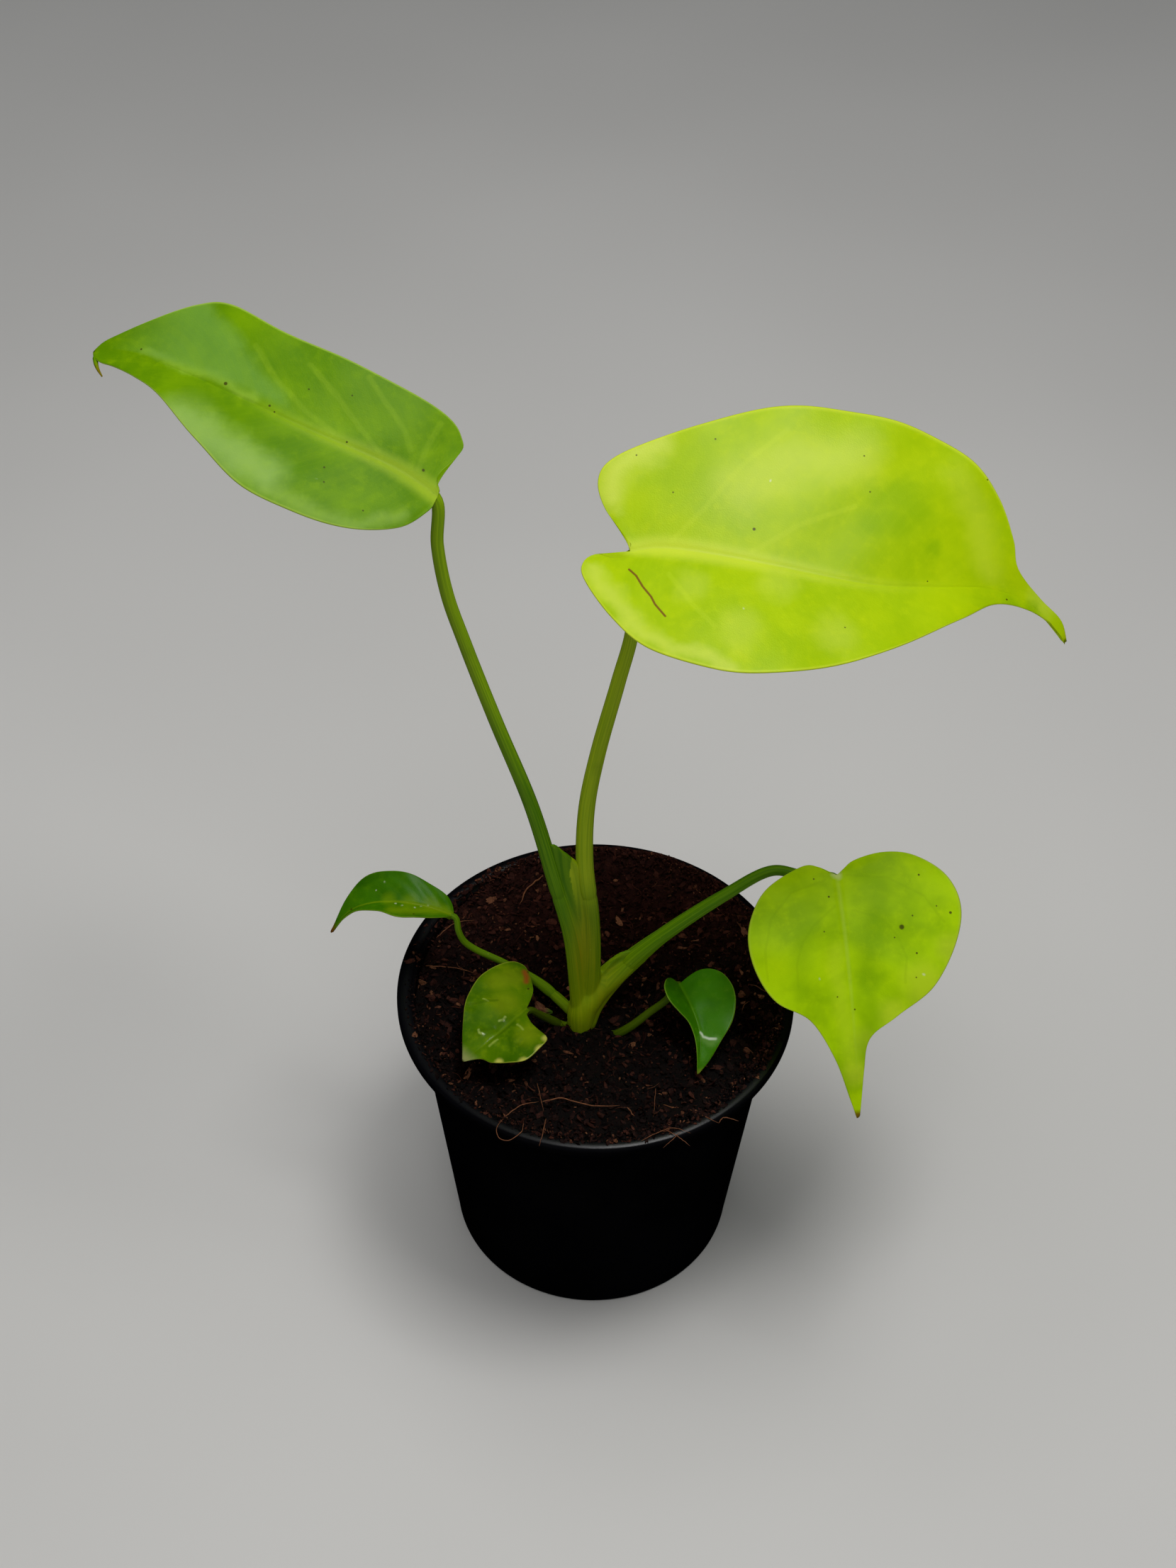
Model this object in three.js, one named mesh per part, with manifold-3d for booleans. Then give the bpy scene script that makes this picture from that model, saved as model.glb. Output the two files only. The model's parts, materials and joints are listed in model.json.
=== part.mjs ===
// A small climbing plant with six leaves in a round nursery pot.
// Millimetres, +Z up. The origin is the middle of the pot's underside.
// +X is the viewer's right and +Y points away from the viewer.

import * as THREE from 'three';
import Module from 'manifold-3d';
import { mergeVertices } from 'three/addons/utils/BufferGeometryUtils.js';

const wasm = await Module();
wasm.setup();

// Driving dimensions

const CLEARANCE = 0.3; // between two pieces that touch

const POT = {
  height: 104,
  rimRadius: 60,
  lipWidth: 4.4, // the flat top of the rolled rim
  lipThickness: 1.4,
  lipRound: 1,
  skirtDrop: 3.6, // how far the rim's outer skirt hangs
  skirtWall: 1.1,
  bandHeight: 9, // the straight band below the lip
  bandRadius: 56.2,
  bandSlope: 2, // height of the slope from the wall out to the band
  wallTopRadius: 53.4,
  footRadius: 44.5,
  footRound: 1,
  wall: 1.2,
  grooveInner: 18,
  grooveOuter: 39,
  grooveHeight: 2.5,
  grooveSlope: 1.5,
  sides: 40,
};

const DRAIN = { count: 8, radius: 4, ring: 28.5, depth: 20, sides: 10 };

const SOIL = {
  level: 102.6, // at the middle of the pot
  tilt: 2.4, // how much higher the mix lies on its high side
  highSide: 0.7, // direction of the high side, in radians from +X
  edgeDrop: 2.6, // how far it falls off at the wall
  lump: 0.5,
  rings: 7,
};

const BLADE_THICKNESS = 0.8;
const RIB_PAIRING = 1.6; // side veins leave the rib before the margin point they reach
const RIB_ROUND = 50; // a blade's length over the radius of its fold along the rib
const HOOK_START = 0.7; // where the tip starts to turn down, as a share of the length
const STALK_SIDES = 8;
const STEM_CELLS = 8; // lengthwise cells in each branch of the stem base

// Leaf blades
// A blade's outline is drawn flat, u along the leaf from its stalk and v to the left of it.
// It is then bent: arch bows it up along the rib, hook turns the tip down, the folds raise
// each half from the rib and droop lets the margins fall. Angles are in degrees.

const LEAVES = {
  tall_left: {
    colour: 0x5f9a1c,
    base: [-41, 1, 289],
    heading: 163,
    climb: 13,
    roll: -24,
    length: 92,
    arch: 7,
    hook: 3,
    foldLeft: 0.1,
    foldRight: 0.1,
    droop: 0.001,
    cells: [20, 10],
    rib: [[0, 0], [12, -1.5], [36, -1], [60, -2.5], [80, -4.5], [93, -3]],
    left: [[0, 1.5], [0.5, 5], [5, 12.5], [15, 18.5], [29, 21], [43, 20], [58, 12.8], [72, 4.5],
      [84, 0], [92.5, -1.8]],
    right: [[0, -1.5], [2, -5], [-0.5, -12], [0, -16], [7, -20], [30, -21.5], [50, -22],
      [65, -24], [73, -21.5], [85, -12.5], [93.5, -4]],
    stalkTop: [0.4, 0, -1.8],
  },
  tall_right: {
    colour: 0xb4d516,
    base: [6.5, 4, 270],
    heading: -1,
    climb: -13,
    roll: 24,
    length: 117,
    arch: 8,
    hook: 4,
    foldLeft: 0.2,
    foldRight: 0.2,
    droop: 0.0015,
    cells: [22, 10],
    rib: [[0, 0], [10, 2], [35, 1], [60, 0.5], [78, 4], [94, 8.2], [106, 8.2], [118, 2]],
    left: [[0, 2], [-3, 5.5], [-8, 11.5], [-10.5, 18], [-8.5, 23.5], [0, 29.5], [13, 36], [30, 43],
      [50, 45.5], [68, 44.8], [83, 40.5], [93, 32.5], [98.5, 23], [101, 16], [109, 11], [116, 7.5],
      [118.5, 2.5]],
    right: [[0, -2], [-4, -2.5], [-8, -1.5], [-11, -4], [-10.5, -9], [-3, -20], [7, -28],
      [23.5, -31.8], [38, -30.3], [52, -25.5], [67, -17.3], [85, -4], [95, 4], [105, 6], [113, 5],
      [118, 1.5]],
    stalkTop: [-1.5, 0, -2.2],
  },
  heart: {
    colour: 0x8fc51b,
    base: [68.5, 1.5, 154],
    heading: -83,
    climb: -40,
    roll: 0,
    length: 70,
    arch: 6,
    hook: 0,
    foldLeft: 0.1,
    foldRight: 0.1,
    droop: 0.003,
    cells: [20, 10],
    rib: [[0, 0], [35, 0], [69.5, 0]],
    left: [[0, 1.5], [-3.5, 5], [-5.5, 14], [-4, 23], [2, 31.3], [11, 34.5], [21, 32.2],
      [34, 23.8], [41.5, 12.5], [47, 4.5], [56, 2.2], [69, 0.6]],
    right: [[0, -1.5], [-2.5, -5], [-3, -10], [2.5, -20.7], [10, -26], [18, -28], [27, -26.3],
      [35, -21.5], [41, -12.2], [52, -6.2], [64, -2.1], [69.5, -0.4]],
    stalkTop: [-1.2, 0, -1.8],
  },
  small_left: {
    colour: 0x2f7d12,
    base: [-43, 8.5, 126],
    heading: -176,
    climb: -9,
    roll: -8,
    length: 37,
    arch: 6,
    hook: 0,
    foldLeft: 0.6,
    foldRight: 0.3,
    droop: 0,
    cells: [12, 8],
    rib: [[0, 0], [8, -2], [16, -3.7], [24, -4.6], [31, -3.8], [37, -0.2]],
    left: [[0.3, 0.9], [3, 2.2], [10.5, 3.7], [16, 3], [22, -0.7], [28, -2.6], [33, -2], [36.8, 0.2]],
    right: [[-0.5, -0.9], [0, -4], [1.5, -6.3], [5.2, -8.8], [10, -11.3], [16, -13], [22, -13.4],
      [27, -12], [31.5, -8], [37.2, -0.6]],
    stalkTop: [-0.6, 0, -1.3],
  },
  bitten: {
    colour: 0x6b9c24,
    base: [-20.5, -17, 113],
    heading: -135,
    climb: -9,
    roll: 0,
    length: 25,
    arch: 2,
    hook: 0,
    foldLeft: 0.1,
    foldRight: 0.1,
    droop: 0,
    cells: [12, 8],
    rib: [[-1, -0.6], [8, 0.5], [16, 0.6], [24.2, -1.2]],
    left: [[-1.2, 0.6], [1.8, 2.4], [2.9, 7], [2.8, 11.6], [4.2, 13.6], [8, 14], [13, 13.6],
      [17, 10.3], [19.6, 6.3], [20.6, 2.6], [24.2, -0.7]],
    right: [[-2, -1.8], [-5.6, -3.3], [-8, -5.7], [-11.2, -11.4], [-11.5, -14.4], [-9.6, -17],
      [-4, -18.2], [3, -17.4], [9.5, -14.8], [15.5, -10], [24.2, -1.7]],
    stalkTop: [-1.5, 0, -1.4],
  },
  small_right: {
    colour: 0x2b7a10,
    base: [24.5, -10, 118],
    heading: -78,
    climb: -21,
    roll: 0,
    length: 28,
    arch: 2,
    hook: 0,
    foldLeft: 0.2,
    foldRight: 1.2,
    droop: 0,
    cells: [12, 8],
    rib: [[0, 0], [8, 1.8], [17, 2.6], [28, 0]],
    left: [[-0.2, 0.9], [-1.8, 3.4], [-3.1, 6.6], [-2.7, 10], [-0.3, 13.2], [4, 14.9], [9.4, 14.6],
      [15, 12.4], [20.2, 8], [24.8, 3.9], [27.9, 0.3]],
    right: [[-0.5, -0.9], [-1.4, -2.8], [0, -4.7], [3.2, -6], [7.3, -5.6], [10.6, -3], [13.7, -0.4],
      [18, 0.6], [23.2, 0.4], [28, -0.3]],
    stalkTop: [-0.7, -0.3, -1.9],
  },
};

// Stalks
// Each path runs from inside the stem base to the blade. Its first stretch, up to join, is a
// part of the stem base. Radii are given at the stem, at the join and at the blade.

const STALKS = {
  tall_left: {
    path: [[-4.5, -12.5, 93], [-4.8, -13, 103], [-5.5, -13.2, 120], [-7.5, -12.5, 142],
      [-11.5, -10.8, 160], [-18.5, -8, 190], [-28, -5.3, 220], [-35.5, -3, 245], [-39.5, -1.7, 260],
      [-41.5, -0.3, 275]],
    join: 68,
    radii: [2.6, 2.5, 1.6],
    cells: 20,
  },
  tall_right: {
    path: [[-3.5, -11.5, 93], [-3.2, -11.8, 103], [-1.5, -12, 125], [-1.9, -10.6, 148],
      [-3.8, -8.2, 168], [-3.4, -5.8, 188], [-0.7, -3.6, 206], [4.4, -0.8, 230], [7.6, 1, 246],
      [7.6, 2.4, 257]],
    join: 66,
    radii: [3, 2.6, 1.6],
    cells: 18,
  },
  heart: {
    path: [[-3.5, -11.5, 94], [-2.5, -11.5, 103], [-0.5, -10.4, 110], [6, -8.2, 120],
      [17.5, -6.7, 134], [36.3, -0.2, 146], [50.5, 5.6, 151], [59, 5, 151.8]],
    join: 36,
    radii: [3, 3.4, 1.3],
    cells: 16,
  },
  small_left: {
    path: [[-4.5, -11, 95], [-6.5, -9, 101.5], [-13, -4.5, 106], [-19.1, 0, 107.5], [-28, 4, 110],
      [-36.5, 5.7, 114], [-39.7, 6, 117.2], [-41.3, 6.8, 121]],
    join: 19,
    radii: [1.8, 1.7, 0.9],
    cells: 18,
  },
  bitten: {
    path: [[-4.5, -12.5, 95], [-7.5, -12.2, 101], [-12.5, -12.3, 106], [-17, -14, 110]],
    join: 13,
    radii: [1.3, 1.3, 1],
    cells: 8,
  },
  small_right: {
    path: [[-3, -12, 94], [2.2, -13.2, 100.5], [6, -15.2, 105], [10.3, -16.2, 107.5],
      [16, -14.6, 111.5], [21, -13.2, 115]],
    join: 15,
    radii: [1.2, 1.2, 1],
    cells: 10,
  },
};

// The sheaths that clasp the tall stalks and fill the space between them, up to where they part

const SHEATHS = [
  { path: [[-4, -12, 97], [-4.4, -12.3, 125], [-5.4, -11.2, 146], [-7, -10.6, 156]], radii: [3.2, 1.8] },
  { path: [[-3.4, -11.6, 100], [-2, -11.2, 112], [1, -10.2, 118], [4.5, -8.8, 122.5]], radii: [3.4, 2] },
];

// Loose coir fibres: paths over the mix, seen from above, with their lift off its surface.

const FIBRE = { radius: 0.3, sides: 5, cells: 10 };
const FIBRES = {
  fibre_front: [[-15, -42.7, 0.6], [-10, -41.3, 0.5], [-4.4, -42.7, 0.5], [0, -43.7, 0.5], [7.3, -43.6, 0.6]],
  fibre_rim: [[-25, -47, 0.4], [-21.2, -44.3, 0.3], [-17.5, -43.2, 0.4]],
  fibre_right: [[20, -43, 0.2], [22.8, -44.3, 0.2], [27.9, -45.2, 0.2]],
  fibre_back: [[-17, 44, 0.5], [-21.7, 38.7, 0.4], [-23.8, 32.4, 0.4]],
  fibre_left: [[-52, 9.8, 0.7], [-49, 9.7, 0.6], [-42.6, 8.9, 0.5], [-35.8, 6.3, 0.5]],
};

const SCRAP = {
  path: [[-17.5, -6.6, 103.8], [-15.8, -9.3, 103.5], [-13.2, -10.4, 104.3]],
  halfWidth: 1.7,
  halfThickness: 0.5,
  sides: 8,
  cells: 8,
};

// Shared helpers

const degrees = THREE.MathUtils.degToRad;
const AWAY = new THREE.Vector3(0, 1, 0);

function soilHeight(x, y) {
  const reach = Math.hypot(x, y) / POT.wallTopRadius;
  const side = Math.cos(Math.atan2(y, x) - SOIL.highSide);
  const lumps = Math.sin(x * 0.31 + 1) * Math.cos(y * 0.27) * SOIL.lump;
  return SOIL.level + SOIL.tilt * reach * side - SOIL.edgeDrop * reach ** 6 + lumps;
}

function toManifold(geometry) {
  const bare = geometry.clone();
  bare.deleteAttribute('normal');
  bare.deleteAttribute('uv');
  const merged = mergeVertices(bare, 1e-4);
  return new wasm.Manifold(new wasm.Mesh({
    numProp: 3,
    vertProperties: new Float32Array(merged.attributes.position.array),
    triVerts: new Uint32Array(merged.index.array),
  }));
}

function toGeometry(solid) {
  const mesh = solid.getMesh();
  const geometry = new THREE.BufferGeometry();
  geometry.setAttribute('position', new THREE.BufferAttribute(mesh.vertProperties, 3));
  geometry.setIndex(new THREE.BufferAttribute(mesh.triVerts, 1));
  geometry.computeVertexNormals();
  return geometry;
}

function namedMesh(name, geometry, colour, roughness) {
  const material = new THREE.MeshStandardMaterial({ color: colour, roughness, metalness: 0 });
  const mesh = new THREE.Mesh(geometry, material);
  mesh.name = name;
  return mesh;
}

function moveVertices(geometry, place) {
  const position = geometry.attributes.position;
  const point = new THREE.Vector3();
  for (let i = 0; i < position.count; i += 1) {
    point.fromBufferAttribute(position, i);
    place(point);
    position.setXYZ(i, point.x, point.y, point.z);
  }
  geometry.computeVertexNormals();
  return geometry;
}

// A bar bent along a stretch of a curve, from one length along it to another. Its section has
// one half width near the X direction and one near the Y direction.
function bentBar(curve, from, to, sides, cells, halfWidths) {
  const total = curve.getLength();
  const bar = new THREE.CylinderGeometry(1, 1, 1, sides, cells);
  return moveVertices(bar, (point) => {
    const at = from + (to - from) * (point.y + 0.5);
    const share = THREE.MathUtils.clamp(at / total, 0, 1);
    const tangent = curve.getTangentAt(share);
    const sideways = AWAY.clone().cross(tangent).normalize();
    const backwards = tangent.clone().cross(sideways);
    const [wide, deep] = halfWidths(at);
    sideways.multiplyScalar(point.x * wide);
    backwards.multiplyScalar(-point.z * deep);
    point.copy(curve.getPointAt(share)).add(sideways).add(backwards);
  });
}

// Pot: one thin shell with a rolled rim, a foot ring and a grooved floor

function potProfile() {
  const { height, rimRadius, lipWidth, lipThickness, lipRound, skirtDrop, skirtWall } = POT;
  const { bandHeight, bandRadius, bandSlope, wallTopRadius, footRadius, footRound, wall } = POT;
  const { grooveInner, grooveOuter, grooveHeight, grooveSlope } = POT;
  const bandFoot = height - bandHeight;
  const floor = grooveHeight + wall;
  const underLip = height - lipThickness;
  const skirtFoot = height - skirtDrop;
  const insideBand = bandRadius - wall;
  const insideFoot = footRadius - wall;
  const cut = 0.3 * lipRound; // how far the lip's corner vertex stands in from the square corner
  return [
    [0, 0], [grooveInner, 0], [grooveInner + grooveSlope, grooveHeight],
    [grooveOuter - grooveSlope, grooveHeight], [grooveOuter, 0],
    [footRadius - footRound, 0], [footRadius, footRound],
    [wallTopRadius, bandFoot - bandSlope], [bandRadius, bandFoot], [bandRadius, underLip],
    [rimRadius - skirtWall, underLip], [rimRadius - skirtWall, skirtFoot],
    [rimRadius, skirtFoot], [rimRadius, height - lipRound], [rimRadius - cut, height - cut],
    [rimRadius - lipRound, height], [rimRadius - lipWidth, height],
    [insideBand, underLip], [insideBand, bandFoot],
    [wallTopRadius - wall, bandFoot - bandSlope], [insideFoot, floor + footRound],
    [insideFoot - footRound, floor], [0, floor],
  ].map(([radius, z]) => new THREE.Vector2(radius, z));
}

// A lathe turns about Y, so it is stood up on Z.
function turned(profile, sides) {
  return new THREE.LatheGeometry(profile, sides).rotateX(Math.PI / 2);
}

function makePot() {
  let shell = toManifold(turned(potProfile(), POT.sides));
  for (let i = 0; i < DRAIN.count; i += 1) {
    const angle = (i + 0.5) * 2 * Math.PI / DRAIN.count;
    const hole = new THREE.CylinderGeometry(DRAIN.radius, DRAIN.radius, DRAIN.depth, DRAIN.sides);
    hole.rotateX(Math.PI / 2);
    hole.translate(DRAIN.ring * Math.cos(angle), DRAIN.ring * Math.sin(angle), 0);
    shell = shell.subtract(toManifold(hole));
  }
  return namedMesh('pot', toGeometry(shell), 0x101113, 0.45);
}

// Stem base: the short stem with the lowest stretch of every stalk grown into it

function throughPoints(points) {
  return new THREE.CatmullRomCurve3(points.map((p) => new THREE.Vector3(...p)));
}

function stalkCurve(name) {
  return throughPoints([...STALKS[name].path, stalkTop(name).toArray()]);
}

// The stalk ends just under its blade, so its end is set in the blade's own frame.
function stalkTop(name) {
  const { stalkTop: offset, base } = LEAVES[name];
  return new THREE.Vector3(...offset).applyEuler(leafTurn(name)).add(new THREE.Vector3(...base));
}

function leafTurn(name) {
  const { heading, climb, roll } = LEAVES[name];
  return new THREE.Euler(degrees(roll), -degrees(climb), degrees(heading), 'ZYX');
}

function stalkRadius(name, length, grow) {
  const { radii, join } = STALKS[name];
  const [low, middle, high] = radii;
  return (at) => {
    const radius = at < join
      ? THREE.MathUtils.lerp(low, middle, at / join)
      : THREE.MathUtils.lerp(middle, high, ((at - join) / (length - join)) ** 0.5);
    return [radius + grow, radius + grow];
  };
}

function stemSolid(grow) {
  const stubs = Object.entries(STALKS).map(([name, { join }]) => {
    const curve = stalkCurve(name);
    const radius = stalkRadius(name, curve.getLength(), grow);
    return toManifold(bentBar(curve, 0, join + grow, STALK_SIDES, STEM_CELLS, radius));
  });
  const clasps = SHEATHS.map(({ path, radii }) => {
    const curve = throughPoints(path);
    const length = curve.getLength();
    const radius = (at) => Array(2).fill(THREE.MathUtils.lerp(...radii, at / length) + grow);
    return toManifold(bentBar(curve, 0, length, STALK_SIDES, STEM_CELLS, radius));
  });
  return [...stubs, ...clasps].reduce((whole, part) => whole.add(part));
}

function makeStemBase() {
  return namedMesh('stem_base', toGeometry(stemSolid(0)), 0x7f9a1f, 0.5);
}

function makeStalk(name) {
  const { join, cells } = STALKS[name];
  const curve = stalkCurve(name);
  const length = curve.getLength();
  const radius = stalkRadius(name, length, 0);
  const bar = bentBar(curve, join + CLEARANCE, length, STALK_SIDES, cells, radius);
  return namedMesh(`stalk_${name}`, bar, 0x55951b, 0.45);
}

// Soil: fills the pot to its rim, with a socket for the stem base

function makeSoil() {
  const { height, bandHeight, bandSlope, bandRadius, wallTopRadius } = POT;
  const { footRadius, footRound, wall, grooveHeight } = POT;
  const floor = grooveHeight + wall + CLEARANCE;
  const bandFoot = height - bandHeight + CLEARANCE;
  const inset = wall + CLEARANCE;
  const edge = bandRadius - inset;
  const side = [
    [0, floor], [footRadius - inset - footRound, floor], [footRadius - inset, floor + footRound],
    [wallTopRadius - inset, bandFoot - bandSlope], [edge, bandFoot],
  ];
  const top = Array.from({ length: SOIL.rings + 1 }, (_, i) => [edge * (1 - i / SOIL.rings), height]);
  const profile = [...side, ...top].map(([radius, z]) => new THREE.Vector2(radius, z));
  const body = moveVertices(turned(profile, POT.sides), (point) => {
    if (point.z === height) {
      point.z = soilHeight(point.x, point.y);
    }
  });
  const socket = stemSolid(CLEARANCE);
  const packed = toManifold(body).subtract(socket).subtract(socket.translate(0, 0, -CLEARANCE));
  return namedMesh('soil', toGeometry(packed), 0x2e1a14, 1);
}

// Leaf blades

function flatCurve(points) {
  return new THREE.SplineCurve(points.map((p) => new THREE.Vector2(...p)));
}

function bladeLift(leaf, u, across) {
  const s = u / leaf.length;
  const arch = 4 * leaf.arch * s * (s > 0 ? 1 - s : 1);
  const hook = leaf.hook * Math.max(0, (s - HOOK_START) / (1 - HOOK_START)) ** 2;
  const fold = across > 0 ? leaf.foldLeft : leaf.foldRight;
  const ribRound = leaf.length / RIB_ROUND;
  const raised = fold * (Math.hypot(across, ribRound) - ribRound);
  return arch - hook + raised - leaf.droop * across ** 2;
}

function makeBlade(name) {
  const leaf = LEAVES[name];
  const rib = flatCurve(leaf.rib);
  const left = flatCurve(leaf.left);
  const right = flatCurve(leaf.right);
  const [rows, columns] = leaf.cells;
  const sheet = new THREE.BoxGeometry(1, 2, BLADE_THICKNESS, rows, columns, 1);
  const blade = moveVertices(sheet, (point) => {
    const s = THREE.MathUtils.clamp(point.x + 0.5, 0, 1);
    const root = rib.getPointAt(s ** RIB_PAIRING);
    const margin = (point.y > 0 ? left : right).getPointAt(s);
    const flat = root.clone().lerp(margin, Math.abs(point.y));
    point.set(flat.x, flat.y, point.z + bladeLift(leaf, flat.x, flat.y - root.y));
  });
  const mesh = namedMesh(`blade_${name}`, blade, leaf.colour, 0.35);
  mesh.position.set(...leaf.base);
  mesh.rotation.copy(leafTurn(name));
  return mesh;
}

// Loose trim on the mix

function makeFibre(name) {
  const points = FIBRES[name].map(([x, y, lift]) => {
    const z = soilHeight(x, y) + lift + FIBRE.radius;
    return new THREE.Vector3(x, y, z);
  });
  const curve = new THREE.CatmullRomCurve3(points);
  const radius = () => [FIBRE.radius, FIBRE.radius];
  const bar = bentBar(curve, 0, curve.getLength(), FIBRE.sides, FIBRE.cells, radius);
  return namedMesh(name, bar, 0x9a6a45, 0.9);
}

function makeDrySheath() {
  const curve = throughPoints(SCRAP.path);
  const radius = () => [SCRAP.halfWidth, SCRAP.halfThickness];
  const strip = bentBar(curve, 0, curve.getLength(), SCRAP.sides, SCRAP.cells, radius);
  return namedMesh('dry_sheath', strip, 0x6b4630, 0.9);
}

// The whole plant in its pot

const plant = new THREE.Group();
plant.add(makePot(), makeSoil(), makeStemBase());
for (const name of Object.keys(LEAVES)) {
  plant.add(makeStalk(name), makeBlade(name));
}
plant.add(makeDrySheath());
for (const name of Object.keys(FIBRES)) {
  plant.add(makeFibre(name));
}

export default plant;
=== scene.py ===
import json
import math

import bmesh
import bpy
import numpy as np
from mathutils import Matrix, Vector, noise

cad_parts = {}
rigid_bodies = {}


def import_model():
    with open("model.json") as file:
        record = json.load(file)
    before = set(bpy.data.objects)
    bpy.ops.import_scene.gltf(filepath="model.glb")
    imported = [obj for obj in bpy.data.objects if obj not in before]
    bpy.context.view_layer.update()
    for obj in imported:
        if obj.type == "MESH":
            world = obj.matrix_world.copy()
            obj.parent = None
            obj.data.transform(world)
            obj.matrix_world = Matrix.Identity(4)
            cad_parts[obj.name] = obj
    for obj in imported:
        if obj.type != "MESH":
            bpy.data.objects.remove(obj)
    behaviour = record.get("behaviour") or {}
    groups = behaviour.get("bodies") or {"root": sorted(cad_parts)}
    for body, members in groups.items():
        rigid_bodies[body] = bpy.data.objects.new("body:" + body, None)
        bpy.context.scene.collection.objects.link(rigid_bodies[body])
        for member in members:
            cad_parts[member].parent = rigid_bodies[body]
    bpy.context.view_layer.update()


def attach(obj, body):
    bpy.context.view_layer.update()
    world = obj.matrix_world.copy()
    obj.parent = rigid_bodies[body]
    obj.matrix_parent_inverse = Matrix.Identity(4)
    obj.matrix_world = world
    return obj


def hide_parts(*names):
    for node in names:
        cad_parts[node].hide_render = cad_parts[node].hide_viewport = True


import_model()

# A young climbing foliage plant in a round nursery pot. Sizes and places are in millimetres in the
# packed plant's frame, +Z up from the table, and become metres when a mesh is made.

MM = 0.001
TURN = 2 * math.pi

# The view, worked out from the ellipses of the pot's rim and foot

CAMERA_PLACE = (-3.2, -438.1, 633.2)
CAMERA_DOWN = 45.27  # degrees below the horizon
CAMERA_ROLL = 0.83
CAMERA_LENS = 52
CAMERA_SENSOR = 36

# The pot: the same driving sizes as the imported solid

POT_HEIGHT = 104
RIM_RADIUS = 60
LIP_WIDTH = 4.4
LIP_THICKNESS = 1.4
SKIRT_DROP = 3.6
SKIRT_WALL = 1.1
BAND_HEIGHT = 9
BAND_RADIUS = 56.2
BAND_SLOPE = 2
WALL_TOP_RADIUS = 53.4
FOOT_RADIUS = 44.5
POT_WALL = 1.2
GROOVE_INNER = 18
GROOVE_OUTER = 39
GROOVE_HEIGHT = 2.5
GROOVE_SLOPE = 1.5
POT_SIDES = 180
DRAIN = {"count": 8, "radius": 4, "ring": 28.5}

# The potting mix

SOIL_LEVEL = 102.6
SOIL_TILT = 2.4
SOIL_HIGH_SIDE = 0.7
SOIL_LUMP = 0.5
SOIL_RADIUS = 54.7
SOIL_OPEN_SIDE = 3.25  # the direction in which the mix falls away from the rim, in radians from +X
SOIL_EDGE_DROP = 2.6
SOIL_HEAP = 2.2  # how much it is heaped against the rim elsewhere
SOIL_WALL = ((54.3, 96), (51.6, 90), (46, 30), (43, 6))  # radius and height down the side
SOIL_FLOOR = 4.2
STREWN_BUMPS = 0.85  # how closely strewn chips follow the bed's small heaps
LIP_CLEARANCE = 0.15  # how far strewn chips' middles are over the lip
LIP_CLIMB = 0.8  # width of the strip in which chips beside a low bed rise onto the lip
LIP_SLOPE = 2.6  # width of the strip in which chips beside a high bed slope down to the lip

# Leaf blades. u runs along the blade from its stalk and v across it, to the left of the tip. A blade
# is bent from its flat outline, then turned to its heading and set on its stalk's end.

RIB_PAIRING = 1.6  # side veins leave the rib before the margin point they reach
RIB_ROUND = 50  # a blade's length over the radius of its fold along the rib
HOOK_START = 0.7
CROWDING = 0.62  # how much denser the mesh is at the rib and at the margins
BLADE_THICKNESS = 0.55
EDGE_ROUND = 0.45
SLOPE_STEP = 0.05

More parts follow.
